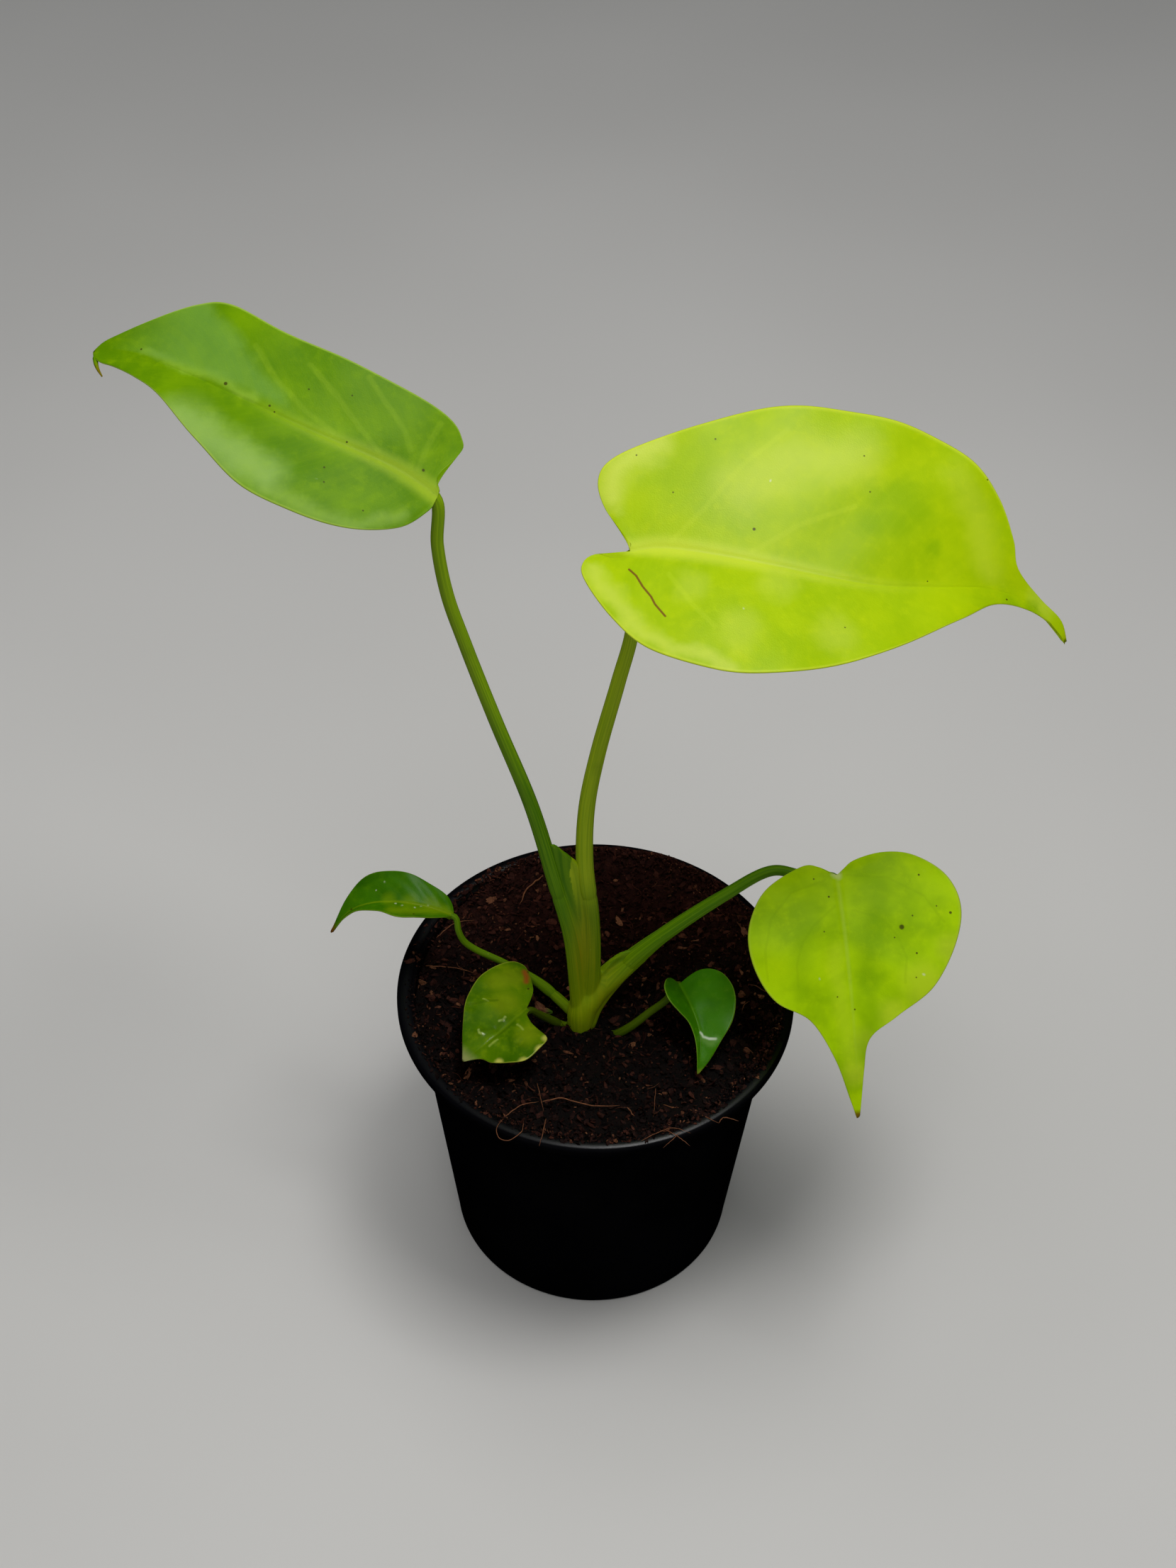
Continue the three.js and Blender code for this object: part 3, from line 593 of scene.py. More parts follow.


# "rib" gives the midrib's colour, its half width at the stalk and the tip, its strength and the shares of
# the blade between which it fades out. "tip" colours the blade between two values of u. "arcs" are drawn
# side veins and "bands" broad soft strokes, both as lines of (u, v). "patches" are round soft marks, "specks"
# small dark dots, "pale" small scuffs, all as (u, v, radius), and "scars" brown scratches. Some bands and
# patches are painted sheen, glints and shade, as marked at each blade. "edge" colours a thin rim along the
# margins, partly the margin's own paler colour and partly painted highlight where it rolls over. A pale
# bluish painted sheen on one side of a line is given as two points of the line, a tone and a strength.

LEAF_LOOKS = {
    "tall_left": {
        "deep": shade(88, 130, 0), "main": shade(108, 148, 0), "light": shade(124, 160, 0),
        "rib": (shade(178, 200, 60), 3.0, 0.9, 0.5, 0.0, 0.7), "edge": shade(170, 196, 80),
        "veins": (shade(136, 170, 10), 0.08), "tip": (shade(120, 96, 20), 92.5, 97),
        "rough": 0.34, "gloss": 0.08,
        "arcs": (shade(146, 178, 40), 0.22, 1.1,
                 [[(6.4, -17), (7, -10), (6.8, -4)],
                  [(26.4, -19.4), (19.7, -15), (13.1, -10.8), (10.3, -7.1)],
                  [(40.7, -16.4), (31.4, -11.7), (23.3, -6.7), (17.2, -3.5)],
                  [(54.8, -15.6), (45.8, -9), (37, -5.2), (28.8, -2.7)]]),
        # a pale bluish painted sheen over the far half towards the tip, beyond a line from the top margin to
        # the rib
        "painted_sheen": ((69.3, -22.2), (38, -2.2), shade(108, 152, 66), 0.6),
        # the first two bands are painted sheen on the near half, the second one along the near margin
        "bands": [(shade(158, 190, 104), 0.52, 7.0, [(65, 8), (55, 11), (46, 13.5), (38, 14.5)]),
                  (shade(150, 182, 80), 0.35, 3.0, [(36, 19), (26, 19), (13, 16.5), (5, 10)]),
                  (shade(80, 122, 0), 0.4, 4.5, [(66, 1.5), (52, 3), (38, 5), (24, 8)]),
                  (shade(86, 128, 0), 0.4, 8.0, [(54, -15), (36, -14), (18, -14)]),
                  (shade(140, 176, 60), 0.5, 2.0, [(80, -6), (66, -4.5), (50, -4)])],
        "specks": [(57.5, -3.9, 0.45), (45.3, -2.6, 0.3), (43.6, -1.6, 0.22), (24.8, -2, 0.25),
                   (26.9, 6.8, 0.25), (25.4, 10.4, 0.22), (5.6, -4.2, 0.35), (14.2, 12.8, 0.22),
                   (38.4, -10.4, 0.22), (28.3, -13.4, 0.2), (81.5, -6.4, 0.25)],
        "pale": [(26.5, 11, 0.25)],
    },
    "tall_right": {
        "deep": shade(152, 184, 0), "main": shade(166, 194, 0), "light": shade(180, 202, 4),
        "rib": (shade(206, 220, 70), 3.4, 1.0, 0.6, 0.1, 0.72), "edge": shade(200, 216, 60),
        "veins": (shade(196, 218, 30), 0.06), "tip": (shade(150, 160, 10), 116, 118.5),
        "rough": 0.28, "gloss": 0.13,
        "arcs": (shade(196, 216, 50), 0.22, 1.0,
                 [[(9.8, 4.1), (16.3, 13.1), (23.8, 25.4), (34.4, 37.2)], [(30, 4), (40, 12), (54, 20)],
                  [(10, -6), (16, -14), (22, -20)]]),
        # the first two bands are painted sheen, over the middle of the far half and on its lobe by the stalk
        "bands": [(shade(198, 214, 80), 0.45, 9.0, [(25, 20), (34, 26), (42, 31), (54, 33)]),
                  (shade(206, 218, 90), 0.6, 5.0, [(-6, 14), (-5, 22), (4, 30)]),
                  (shade(206, 218, 90), 0.45, 3.5, [(-8, -6), (0, -19), (12, -28), (26, -30)]),
                  (shade(190, 208, 60), 0.3, 6.0, [(92, 14), (88, 24), (80, 34)])],
        # the first patches are painted shade in a shallow dent of the far half, the third are pale spots of
        # painted sheen on the near half
        "patches": [(shade(134, 172, 0), 0.7, [(60.7, 24.2, 4), (66, 26, 4.5), (58, 16, 4), (64, 18, 4.5),
                                               (70, 23, 4), (76, 14, 2.5)]),
                    (shade(150, 182, 0), 0.6, [(12, 28, 5), (16, 22, 4), (8, 22, 4), (5, 30, 3)]),
                    (shade(196, 212, 80), 0.28, [(36.8, -5.3, 4), (28.3, -19.3, 5), (52, -16.4, 5),
                                                 (14.8, -8.9, 4), (110, 10, 4)]),
                    (shade(120, 160, 0), 0.6, [(106, 6.2, 2.5), (99, 5, 2.5)])],
        "specks": [(29.5, 9.6, 0.4), (57.4, 24.4, 0.22), (16.8, 32.1, 0.25), (8.3, 16.6, 0.22),
                   (98.4, 6.6, 0.28), (88.7, 35.9, 0.22), (54.7, 33.6, 0.22), (75.6, 4.9, 0.2),
                   (54.5, -13.8, 0.2), (-2, 25.6, 0.22)],
        "pale": [(33, 24, 0.3), (28, -14, 0.25)],
        "scars": [[(0.2, -5.6), (2, -7.3), (3.8, -10.3), (6.1, -13.1), (7.2, -15.2), (9.9, -18.4)]],
    },
    "heart": {
        "deep": shade(146, 188, 0), "main": shade(174, 214, 0), "light": shade(188, 222, 2),
        "rib": (shade(176, 206, 70), 0.8, 0.3, 0.3, 0.3, 0.9), "edge": shade(176, 200, 60),
        "veins": (shade(118, 160, 0), 0.06), "tip": (shade(110, 52, 18), 66.5, 68.5),
        "rough": 0.36, "gloss": 0.06,
        "arcs": (shade(104, 150, 0), 0.15, 0.55,
                 [[(1.4, -3.6), (4.4, -14.1), (11.6, -20.7), (20, -23.4), (28.6, -23.4)],
                  [(9.2, -2), (14.1, -8.7), (18.7, -12.6), (25, -14.9), (30.9, -15)],
                  [(10.7, 3.3), (13.5, 11.1), (18.7, 14.8), (25.3, 16.8), (32.2, 15.5)],
                  [(0.5, 3), (2, 14), (8, 24), (16, 29)]]),
        "bands": [(shade(112, 158, 0), 0.4, 4.5, [(6, 12), (14, 9), (26, 6), (38, 4.5), (50, 2.5)]),
                  (shade(190, 220, 40), 0.4, 3.5, [(22, -3), (34, -3.5), (44, -2.5), (54, -1.5)]),
                  (shade(116, 162, 0), 0.3, 4.0, [(10, -8), (22, -13), (32, -14)])],
        "patches": [(shade(186, 204, 50), 0.45, [(34, 21, 6), (41, 11, 4), (48, 3, 3.5), (56, 0, 3.5),
                                                 (24, 30, 4)]),
                    (shade(214, 220, 150), 0.7, [(0.5, 0.2, 1.3)])],
        "specks": [(16.5, 16.4, 0.7), (6.3, -3.3, 0.3), (2, 23.5, 0.3), (13.5, 19.9, 0.25), (24.2, 19.8, 0.3),
                   (31, 18.8, 0.22), (13.5, 31.1, 0.4), (34.7, -4.1, 0.22), (38.6, 0.6, 0.25),
                   (11.3, 27.3, 0.22), (19.3, 14, 0.22), (16.1, -6, 0.22), (0.9, -6.9, 0.25)],
        "pale": [(1.4, 26, 0.3), (31.5, 21.2, 0.3), (29.6, -9.1, 0.3)],
    },
    "small_left": {
        "deep": shade(46, 92, 0), "main": shade(62, 112, 0), "light": shade(84, 130, 0),
        "rib": (shade(124, 150, 16), 1.0, 0.3, 0.6, 0.6, 1.1), "edge": shade(130, 156, 40),
        "bands": [(shade(124, 152, 8), 0.6, 2.6, [(2.3, -0.9), (6.3, 0.2), (11.5, 1), (17.1, 0)])],
        "veins": (shade(84, 124, 4), 0.12), "tip": (shade(112, 56, 20), 34.5, 36.5),
        "rough": 0.26, "gloss": 0.14,
        "patches": [(shade(110, 142, 6), 0.6, [(6, -2, 2.5), (12, -3, 2.2), (18, -4.5, 2)])],
        "specks": [(29.6, -4.4, 0.3), (10.5, 2.3, 0.25)],
        "pale": [(16, -2.9, 0.3), (14.2, -1.6, 0.3), (10.5, -0.7, 0.25), (8.8, -1.5, 0.3), (6.7, -2.1, 0.25),
                 (18.8, -10.1, 0.25), (21.7, -8, 0.25)],
    },
    "bitten": {
        "deep": shade(62, 100, 0), "main": shade(90, 126, 0), "light": shade(134, 158, 8),
        # after the brown scab, the next five bands are painted glints, small wet highlights
        "bands": [(shade(152, 84, 30), 1.0, 1.3, [(-9.9, -11.4), (-8.8, -9.5), (-7.4, -8.2)]),
                  (shade(196, 214, 110), 0.5, 0.5, [(14.7, -4.3), (15.2, -3.2), (14.8, -2.2)]),
                  (shade(196, 214, 110), 0.5, 0.5, [(8.4, -2.2), (7.4, -1.4), (6.3, -1.7)]),
                  (shade(190, 208, 90), 0.4, 0.5, [(16.3, 2), (13.4, 2.4)]),
                  (shade(190, 208, 90), 0.4, 0.5, [(5.6, 2.6), (5.9, 5.3)]),
                  (shade(190, 208, 90), 0.4, 0.4, [(6.7, -10.8), (6.3, -9.2)]),
                  (shade(78, 112, 0), 0.6, 1.2, [(15.4, -1.8), (11, -0.4), (7, 0.2)])],
        "rib": (shade(120, 148, 24), 0.7, 0.3, 0.35, 0.5, 1.0), "edge": shade(176, 180, 60),
        "veins": (shade(110, 140, 14), 0.12), "tip": (shade(150, 152, 96), 20, 24),
        "rough": 0.14, "gloss": 0.4,
        "arcs": (shade(64, 96, 0), 0.5, 0.7,
                 [[(14.6, -3.7), (11.1, -1.5), (6.8, -1.3)], [(14.7, 0.9), (8, 1.5)],
                  [(11.2, -12.5), (4, -8)]]),
        "patches": [(shade(156, 170, 30), 0.35, [(-5, -12, 3.5), (-1, -13, 3.5), (6, 8, 3.5), (3, -6, 4)]),
                    (shade(206, 200, 90), 0.8, [(3.6, 12.8, 1.2), (7.5, 14.2, 1.2), (13.4, 13.6, 1.2),
                                                (18.3, 8.3, 1.2)])],
        "specks": [(-10.8, -10.6, 0.4), (-6.1, -5.6, 0.35)],
    },
    "small_right": {
        "deep": shade(48, 100, 0), "main": shade(62, 120, 0), "light": shade(84, 134, 0),
        "rib": (shade(86, 134, 4), 0.7, 0.3, 0.4, 0.5, 1.0), "edge": shade(130, 160, 50),
        # both bands are a painted wet highlight: a white crescent near the tip and a paler halo round it
        "bands": [(shade(226, 236, 214), 0.9, 0.5, [(16.6, 2.6), (18.1, 3.2), (19, 4.7), (19.5, 6.7)]),
                  (shade(120, 160, 80), 0.4, 1.4, [(18.5, 3), (20.5, 5), (19.6, 7)])],
        "veins": (shade(70, 120, 4), 0.1), "tip": (shade(120, 130, 40), 26, 28),
        "rough": 0.2, "gloss": 0.2,
    },
}


def leaf_material(name):
    look = LEAF_LOOKS[name]
    veins, bend, _ = BLADES[name]["quilt"]
    length = BLADES[name]["length"]
    material, sheet, feed = new_material(
        f"{name}_leaf_skin", Specular_IOR_Level=look["gloss"], Subsurface_Weight=0.12, **SKIN)
    share, across, reach = sheet.axes(sheet.attribute("leaf"))
    u, v, _ = sheet.axes(sheet.attribute("place"))
    place = sheet.place()
    cloud = sheet.noise(place, 55.0, 3.0, 0.6)
    other_cloud = sheet.noise(sheet.stretch(place, (1.0, -1.0, 1.3)), 90.0, 4.0, 0.65)
    grain = sheet.noise(place, 420.0, 4.0, 0.6)
    wander = 0.08 * length
    wavy_u = u + (cloud - 0.5) * wander
    wavy_v = v + (other_cloud - 0.5) * wander
    colour = sheet.mix(cloud.fade(0.36, 0.66), look["deep"], look["main"])
    lighter = grain.fade(0.45, 0.8) * 0.4 + other_cloud.fade(0.55, 0.75) * 0.4
    colour = sheet.mix(lighter, colour, look["light"])
    # some patches and bands are painted sheen, glints and shade, as marked in LEAF_LOOKS
    for tone, strength, places in look.get("patches", []):
        colour = sheet.mix(sheet.spots(wavy_u, wavy_v, places, 0.7) * strength, colour, tone)
    for tone, strength, width, points in look.get("bands", []):
        band = sheet.scratch(wavy_u, wavy_v, points, width * 1.25, 0.0)
        colour = sheet.mix(band * strength, colour, tone)
    # a pale bluish painted sheen past a line, on the right half of the blade, fading out at the tip
    if "painted_sheen" in look:
        (u1, v1), (u2, v2), tone, strength = look["painted_sheen"]
        size = math.hypot(u2 - u1, v2 - v1)
        past = ((wavy_u - u1) * ((v2 - v1) / size) - (wavy_v - v1) * ((u2 - u1) / size)).fade(-2.2, 2.2)
        painted_sheen = past * across.fade(-0.04, -0.2) * (u / length).fade(1.0, 0.75) * (0.7 + 0.4 * other_cloud)
        colour = sheet.mix(painted_sheen * strength, colour, tone)
    stripe = veins * (share - bend * across * across)
    line = (stripe.fraction() - 0.5).size().fade(0.33, 0.5)
    fine = ((stripe * 6.0 + cloud * 0.9).fraction() - 0.5).size().fade(0.25, 0.5)
    away_from_rib = reach.fade(0.3, 3.0) * across.size().fade(1.0, 0.6)
    vein_colour, vein_strength = look["veins"]
    colour = sheet.mix((line + fine * 0.5) * away_from_rib * vein_strength, colour, vein_colour)
    if "arcs" in look:
        tone, strength, width, lines = look["arcs"]
        for points in lines:
            drawn = sheet.scratch(u, v + (other_cloud - 0.5) * 1.2, points, width)
            colour = sheet.mix(drawn * strength * (0.6 + grain * 0.5), colour, tone)
    rib_colour, wide, narrow, strength, hold, gone = look["rib"]
    along_rib = (u / length).highest(0.0).lowest(1.0)
    rib_edge = (1 - along_rib) * (wide - narrow) + narrow
    rib = (reach / rib_edge).fade(1.5, 0.2) * along_rib.fade(gone, hold)
    colour = sheet.mix(rib * strength, colour, rib_colour)
    # a paler rim along the margin, partly the margin's own colour and partly painted highlight where it rolls
    # over
    edge = across.size().fade(0.965, 0.995)
    colour = sheet.mix(edge * 0.6, colour, look["edge"])
    tip, start, end = look["tip"]
    colour = sheet.mix(u.fade(start, end) * 0.85, colour, tip)
    if "pale" in look:
        scuffs = sheet.spots(wavy_u, wavy_v, look["pale"], 0.8) * grain.fade(0.3, 0.6)
        colour = sheet.mix(scuffs * 0.55, colour, shade(220, 226, 190))
    if "specks" in look:
        colour = sheet.mix(sheet.spots(u, v, look["specks"]) * 0.85, colour, shade(58, 48, 16))
    for points in look.get("scars", []):
        colour = sheet.mix(sheet.scratch(u, v, points, 0.42) * 0.9, colour, shade(112, 62, 30))
    cells = sheet.cells(place, 2600.0)
    rough = look["rough"] + 0.08 * cloud + 0.05 * grain
    normal = sheet.bump(cells, 0.03, 0.5)
    normal = sheet.bump(grain, 0.06, 0.35, normal)
    feed(Base_Color=colour, Roughness=rough, Normal=normal)
    return material


def stem_material():
    material, sheet, feed = new_material(
        "green_stem_skin", Specular_IOR_Level=0.22, Subsurface_Weight=0.1, **SKIN)
    grain = sheet.attribute("grain")
    warm, pale, dark = sheet.axes(sheet.attribute("tint"))
    place = sheet.place()
    stripes = sheet.noise(sheet.stretch(grain, (6.0, 6.0, 0.3)), 1.0, 3.0, 0.6)
    cloud = sheet.noise(place, 60.0, 3.0, 0.6)
    speck = sheet.noise(place, 900.0, 2.0, 0.5)
    colour = sheet.mix(stripes.fade(0.35, 0.68), shade(74, 120, 0), shade(106, 148, 0))
    pale_skin = sheet.mix(stripes.fade(0.3, 0.7), shade(146, 174, 0), shade(180, 198, 26))
    colour = sheet.mix(pale * 0.9, colour, pale_skin)
    colour = sheet.mix(warm * (0.5 + 0.4 * stripes.fade(0.35, 0.65)), colour, shade(146, 148, 2))
    colour = sheet.mix(warm * stripes.fade(0.6, 0.72) * 0.45, colour, shade(160, 116, 6))
    colour = sheet.mix(speck.fade(0.7, 0.8) * 0.3, colour, shade(170, 190, 70))
    colour = sheet.mix(cloud.fade(0.55, 0.8) * 0.3, colour, shade(60, 98, 0))
    # darkening towards olive brown: partly the low stalks' own dull colour, partly painted shade
    colour = sheet.mix(dark, colour, shade(40, 34, 8))
    rough = 0.38 + 0.14 * cloud
    normal = sheet.bump(stripes, 0.05, 0.4)
    normal = sheet.bump(speck, 0.05, 0.4, normal)
    feed(Base_Color=colour, Roughness=rough, Normal=normal)
    return material


def pot_material():
    material, sheet, feed = new_material("pot_plastic_finish", Specular_IOR_Level=0.5)
    place = sheet.place()
    _, _, z = sheet.axes(place)
    cloud = sheet.noise(place, 30.0, 3.0, 0.6)
    pores = sheet.noise(place, 1800.0, 3.0, 0.6)
    scuffs = sheet.noise(sheet.stretch(place, (1.0, 1.0, 14.0)), 90.0, 4.0, 0.65, 0.4)
    dust = sheet.noise(place, 700.0, 4.0, 0.7)
    colour = sheet.mix(cloud.fade(0.3, 0.7), shade(12, 12, 15), shade(17, 17, 20))
    colour = sheet.mix(scuffs.fade(0.6, 0.78) * 0.3, colour, shade(30, 30, 32))
    colour = sheet.mix(dust.fade(0.66, 0.8) * z.fade(0.098, 0.104) * 0.2, colour, shade(70, 54, 44))
    rough = 0.26 + 0.1 * cloud + 0.12 * scuffs
    normal = sheet.bump(pores, 0.05, 0.5)
    normal = sheet.bump(scuffs, 0.05, 0.3, normal)
    feed(Base_Color=colour, Roughness=rough, Normal=normal)
    return material


def mix_material():
    material, sheet, feed = new_material("damp_coir_bed", Specular_IOR_Level=0.3)
    place = sheet.place()
    lumps = sheet.noise(place, 420.0, 5.0, 0.7)
    threads = sheet.noise(sheet.stretch(place, (1.0, 3.0, 1.0)), 700.0, 4.0, 0.7, 1.5)
    colour = sheet.mix(lumps.fade(0.35, 0.65), shade(5, 2, 2), shade(22, 11, 9))
    colour = sheet.mix(threads.fade(0.62, 0.76) * 0.4, colour, shade(60, 34, 25))
    # painted light: the mix is made paler towards the back, standing in for light that the big leaves shade
    # off it
    _, y, _ = sheet.axes(place)
    colour = sheet.mix(y.fade(-0.005, 0.04) * lumps.fade(0.3, 0.6) * 0.2, colour, shade(84, 44, 36))
    normal = sheet.bump(lumps, 1.2, 0.9)
    feed(Base_Color=colour, Roughness=0.75 + 0.2 * lumps, Normal=normal)
    return material


def chip_material():
    """Coir chips and crumbs: each has its own tone, from nearly black to tan."""
    material, sheet, feed = new_material("coir_chip", Specular_IOR_Level=0.3)
    tone, _, _ = sheet.axes(sheet.attribute("tone"))
    place = sheet.place()
    fibre = sheet.noise(sheet.stretch(place, (1.0, 1.0, 2.5)), 1500.0, 4.0, 0.7, 0.8)
    lump = sheet.noise(place, 500.0, 3.0, 0.6)
    stops = [(0.0, shade(9, 4, 4)), (0.35, shade(24, 12, 10)), (0.7, shade(50, 26, 20)),
             (0.93, shade(80, 44, 32)), (1.0, shade(134, 88, 60))]
    colour = sheet.add("ShaderNodeValToRGB", {"stops": stops}, {0: tone})
    colour = sheet.mix(fibre.fade(0.35, 0.7) * 0.6, colour, shade(7, 3, 3))
    colour = sheet.mix(lump.fade(0.62, 0.8) * 0.25, colour, shade(72, 42, 30))
    # painted light: the chips are made paler towards the back, standing in for light that the big leaves
    # shade off them
    _, y, _ = sheet.axes(place)
    colour = sheet.mix(y.fade(-0.005, 0.04) * 0.2, colour, shade(90, 48, 40))
    normal = sheet.bump(fibre, 0.35, 0.8)
    feed(Base_Color=colour, Roughness=0.6 + 0.3 * fibre, Normal=normal)
    return material


def fibre_material():
    material, sheet, feed = new_material("coir_fibre_strand", Specular_IOR_Level=0.4)
    grain = sheet.attribute("grain")
    streak = sheet.noise(sheet.stretch(grain, (3.0, 3.0, 1.2)), 1.0, 3.0, 0.6)
    colour = sheet.mix(streak.fade(0.3, 0.7), shade(70, 38, 24), shade(142, 92, 60))
    normal = sheet.bump(streak, 0.06, 0.6)
    feed(Base_Color=colour, Roughness=0.45 + 0.3 * streak, Normal=normal)
    return material


def dry_material():
    material, sheet, feed = new_material("dry_sheath_skin", Specular_IOR_Level=0.35)
    grain = sheet.attribute("grain")
    green, _, _ = sheet.axes(sheet.attribute("tint"))
    place = sheet.place()
    stripes = sheet.noise(sheet.stretch(grain, (6.0, 6.0, 0.6)), 1.0, 3.0, 0.6)
    spots = sheet.noise(place, 900.0, 3.0, 0.6)
    colour = sheet.mix(stripes.fade(0.3, 0.7), shade(74, 40, 26), shade(126, 84, 60))
    colour = sheet.mix(spots.fade(0.55, 0.75) * 0.5, colour, shade(52, 26, 18))
    colour = sheet.mix(green, colour, shade(58, 84, 8))
    normal = sheet.bump(stripes, 0.15, 0.7)
    feed(Base_Color=colour, Roughness=0.55 + 0.25 * spots, Normal=normal)
    return material


def floor_material():
    material, sheet, feed = new_material("pale_floor", Specular_IOR_Level=0.3)
    place = sheet.place()
    cloud = sheet.noise(place, 3.0, 2.0, 0.5)
    colour = sheet.mix(cloud.fade(0.3, 0.7), shade(214, 212, 208), shade(220, 218, 214))
    feed(Base_Color=colour, Roughness=0.75 + 0.1 * cloud)
    return material


# Leaf blades


def blade_turn(blade):
    """The blade's own axes in the plant's frame: along u, across v, up from its face."""
    roll, climb, heading = (math.radians(blade[key]) for key in ("roll", "climb", "heading"))
    return np.array(Matrix.Rotation(heading, 3, "Z") @ Matrix.Rotation(-climb, 3, "Y")
                    @ Matrix.Rotation(roll, 3, "X"))


def blade_lift(blade, u, across):
    """Height of the blade's sweep over its flat outline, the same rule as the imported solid's."""
    length = blade["length"]
    s = u / length
    arch = 4 * blade["arch"] * np.where(s > 0, s * (1 - s), s)
    hook = blade["hook"] * np.maximum(0, (s - HOOK_START) / (1 - HOOK_START)) ** 2
    fold_left, fold_right = blade["folds"]
    fold = np.where(across > 0, fold_left, fold_right)
    round_rib = length / RIB_ROUND
    return arch - hook + fold * (np.hypot(across, round_rib) - round_rib) - blade["droop"] * across ** 2


def blade_waves(blade, share, side, u, v):
    """Fine shape over the sweep: slow waves, the margin's frill and the swell between side veins."""
    height = np.zeros_like(u)
    for size, long, wide, turn in blade["waves"]:
        height += size * np.sin(TURN * (u / long + v / wide) + turn)
    size, count, turn = blade["frill"]
    height += size * np.abs(side) ** 3 * np.sin(TURN * count * share + turn + np.sign(side))
    count, bend, size = blade["quilt"]
    height -= size * np.cos(TURN * count * (share - bend * side ** 2)) * np.sin(math.pi * np.abs(side)) ** 0.5
    for pucker_u, pucker_v, spread, size in blade.get("puckers", []):
        height += size * np.exp(-((u - pucker_u) ** 2 + (v - pucker_v) ** 2) / (0.7 * spread) ** 2)
    return height * np.minimum(1, np.abs(side) * 3 + u.clip(0) / blade["length"])


def tip_hook(blade):
    """The thin dry hook at a blade's tip, drawn on its flat outline like the margins."""
    flat = along(blade["tip_hook"], np.linspace(0, 1, 24))
    lift = blade_lift(blade, flat[:, 0], np.zeros(24)) - np.linspace(0, 0.6, 24)
    return sweep(np.column_stack([flat, lift]), np.linspace(0.7, 0.2, 24), 10)


def blade_grid(blade):
    """Rows from stalk to tip and columns from margin to margin: each point's share of the blade's length and
    of its half width, and the rib and margin points that it lies between."""
    rows, columns = blade["rows"], blade["columns"]
    share = np.linspace(0, 1, rows)[:, None] * np.ones(columns)
    even = np.linspace(-1, 1, columns)
    side = (even - CROWDING * np.sin(TURN * even) / TURN) * np.ones((rows, 1))
    rib = along(blade["rib"], share[:, 0] ** RIB_PAIRING)[:, None]
    left = along(blade["left"], share[:, 0])[:, None]
    right = along(blade["right"], share[:, 0])[:, None]
    return share, side, rib, np.where(side[..., None] >= 0, left, right)


def blade_normals(blade, u, across):
    """Directions at right angles to the blade's sweep."""
    rise_u = blade_lift(blade, u + SLOPE_STEP, across) - blade_lift(blade, u - SLOPE_STEP, across)
    rise_v = blade_lift(blade, u, across + SLOPE_STEP) - blade_lift(blade, u, across - SLOPE_STEP)
    run = 2 * SLOPE_STEP
    return unit(np.stack([-rise_u / run, -rise_v / run, np.ones_like(u)], -1))


def blade_depths(blade, u, reach, from_margin):
    """How far the upper and the lower face stand off the blade's middle. The margins are round, and the rib
    is a groove above and a ridge below."""
    near_edge = np.minimum(from_margin / EDGE_ROUND, 1)
    taper = np.sqrt(1 - (1 - near_edge) ** 2)
    taper[0] = taper[-1] = 0
    lengthwise = np.clip(1 - u / blade["length"], 0, 1)
    ridge_deep = 0.25 + (1.75 * blade["rib_radius"] - 0.25) * lengthwise ** 3
    ridge_wide = 0.35 + (blade["rib_radius"] - 0.35) * lengthwise ** 1.5
    ridge = ridge_deep * np.sqrt(np.clip(1 - (reach / ridge_wide) ** 2, 0, 1))
    groove = 0.28 * lengthwise * np.exp(-(reach / (0.8 * ridge_wide)) ** 2)
    half = BLADE_THICKNESS / 2
    return taper * (half - groove), taper * (half + ridge)


def two_faced(rows, columns):
    """Quads of an upper and a lower face that share their border, and which points the lower one adds."""
    index = np.arange(rows * columns).reshape(rows, columns)
    inner = np.zeros((rows, columns), bool)
    inner[1:-1, 1:-1] = True
    below = index.copy()
    below[inner] = rows * columns + np.arange(inner.sum())
    here, next_one = slice(None, -1), slice(1, None)
    upper = [index[here, here], index[next_one, here], index[next_one, next_one], index[here, next_one]]
    lower = [below[here, here], below[here, next_one], below[next_one, next_one], below[next_one, here]]
    faces = [np.stack(corners, -1).reshape(-1, 4).tolist() for corners in (upper, lower)]
    return faces[0] + faces[1], inner.ravel()


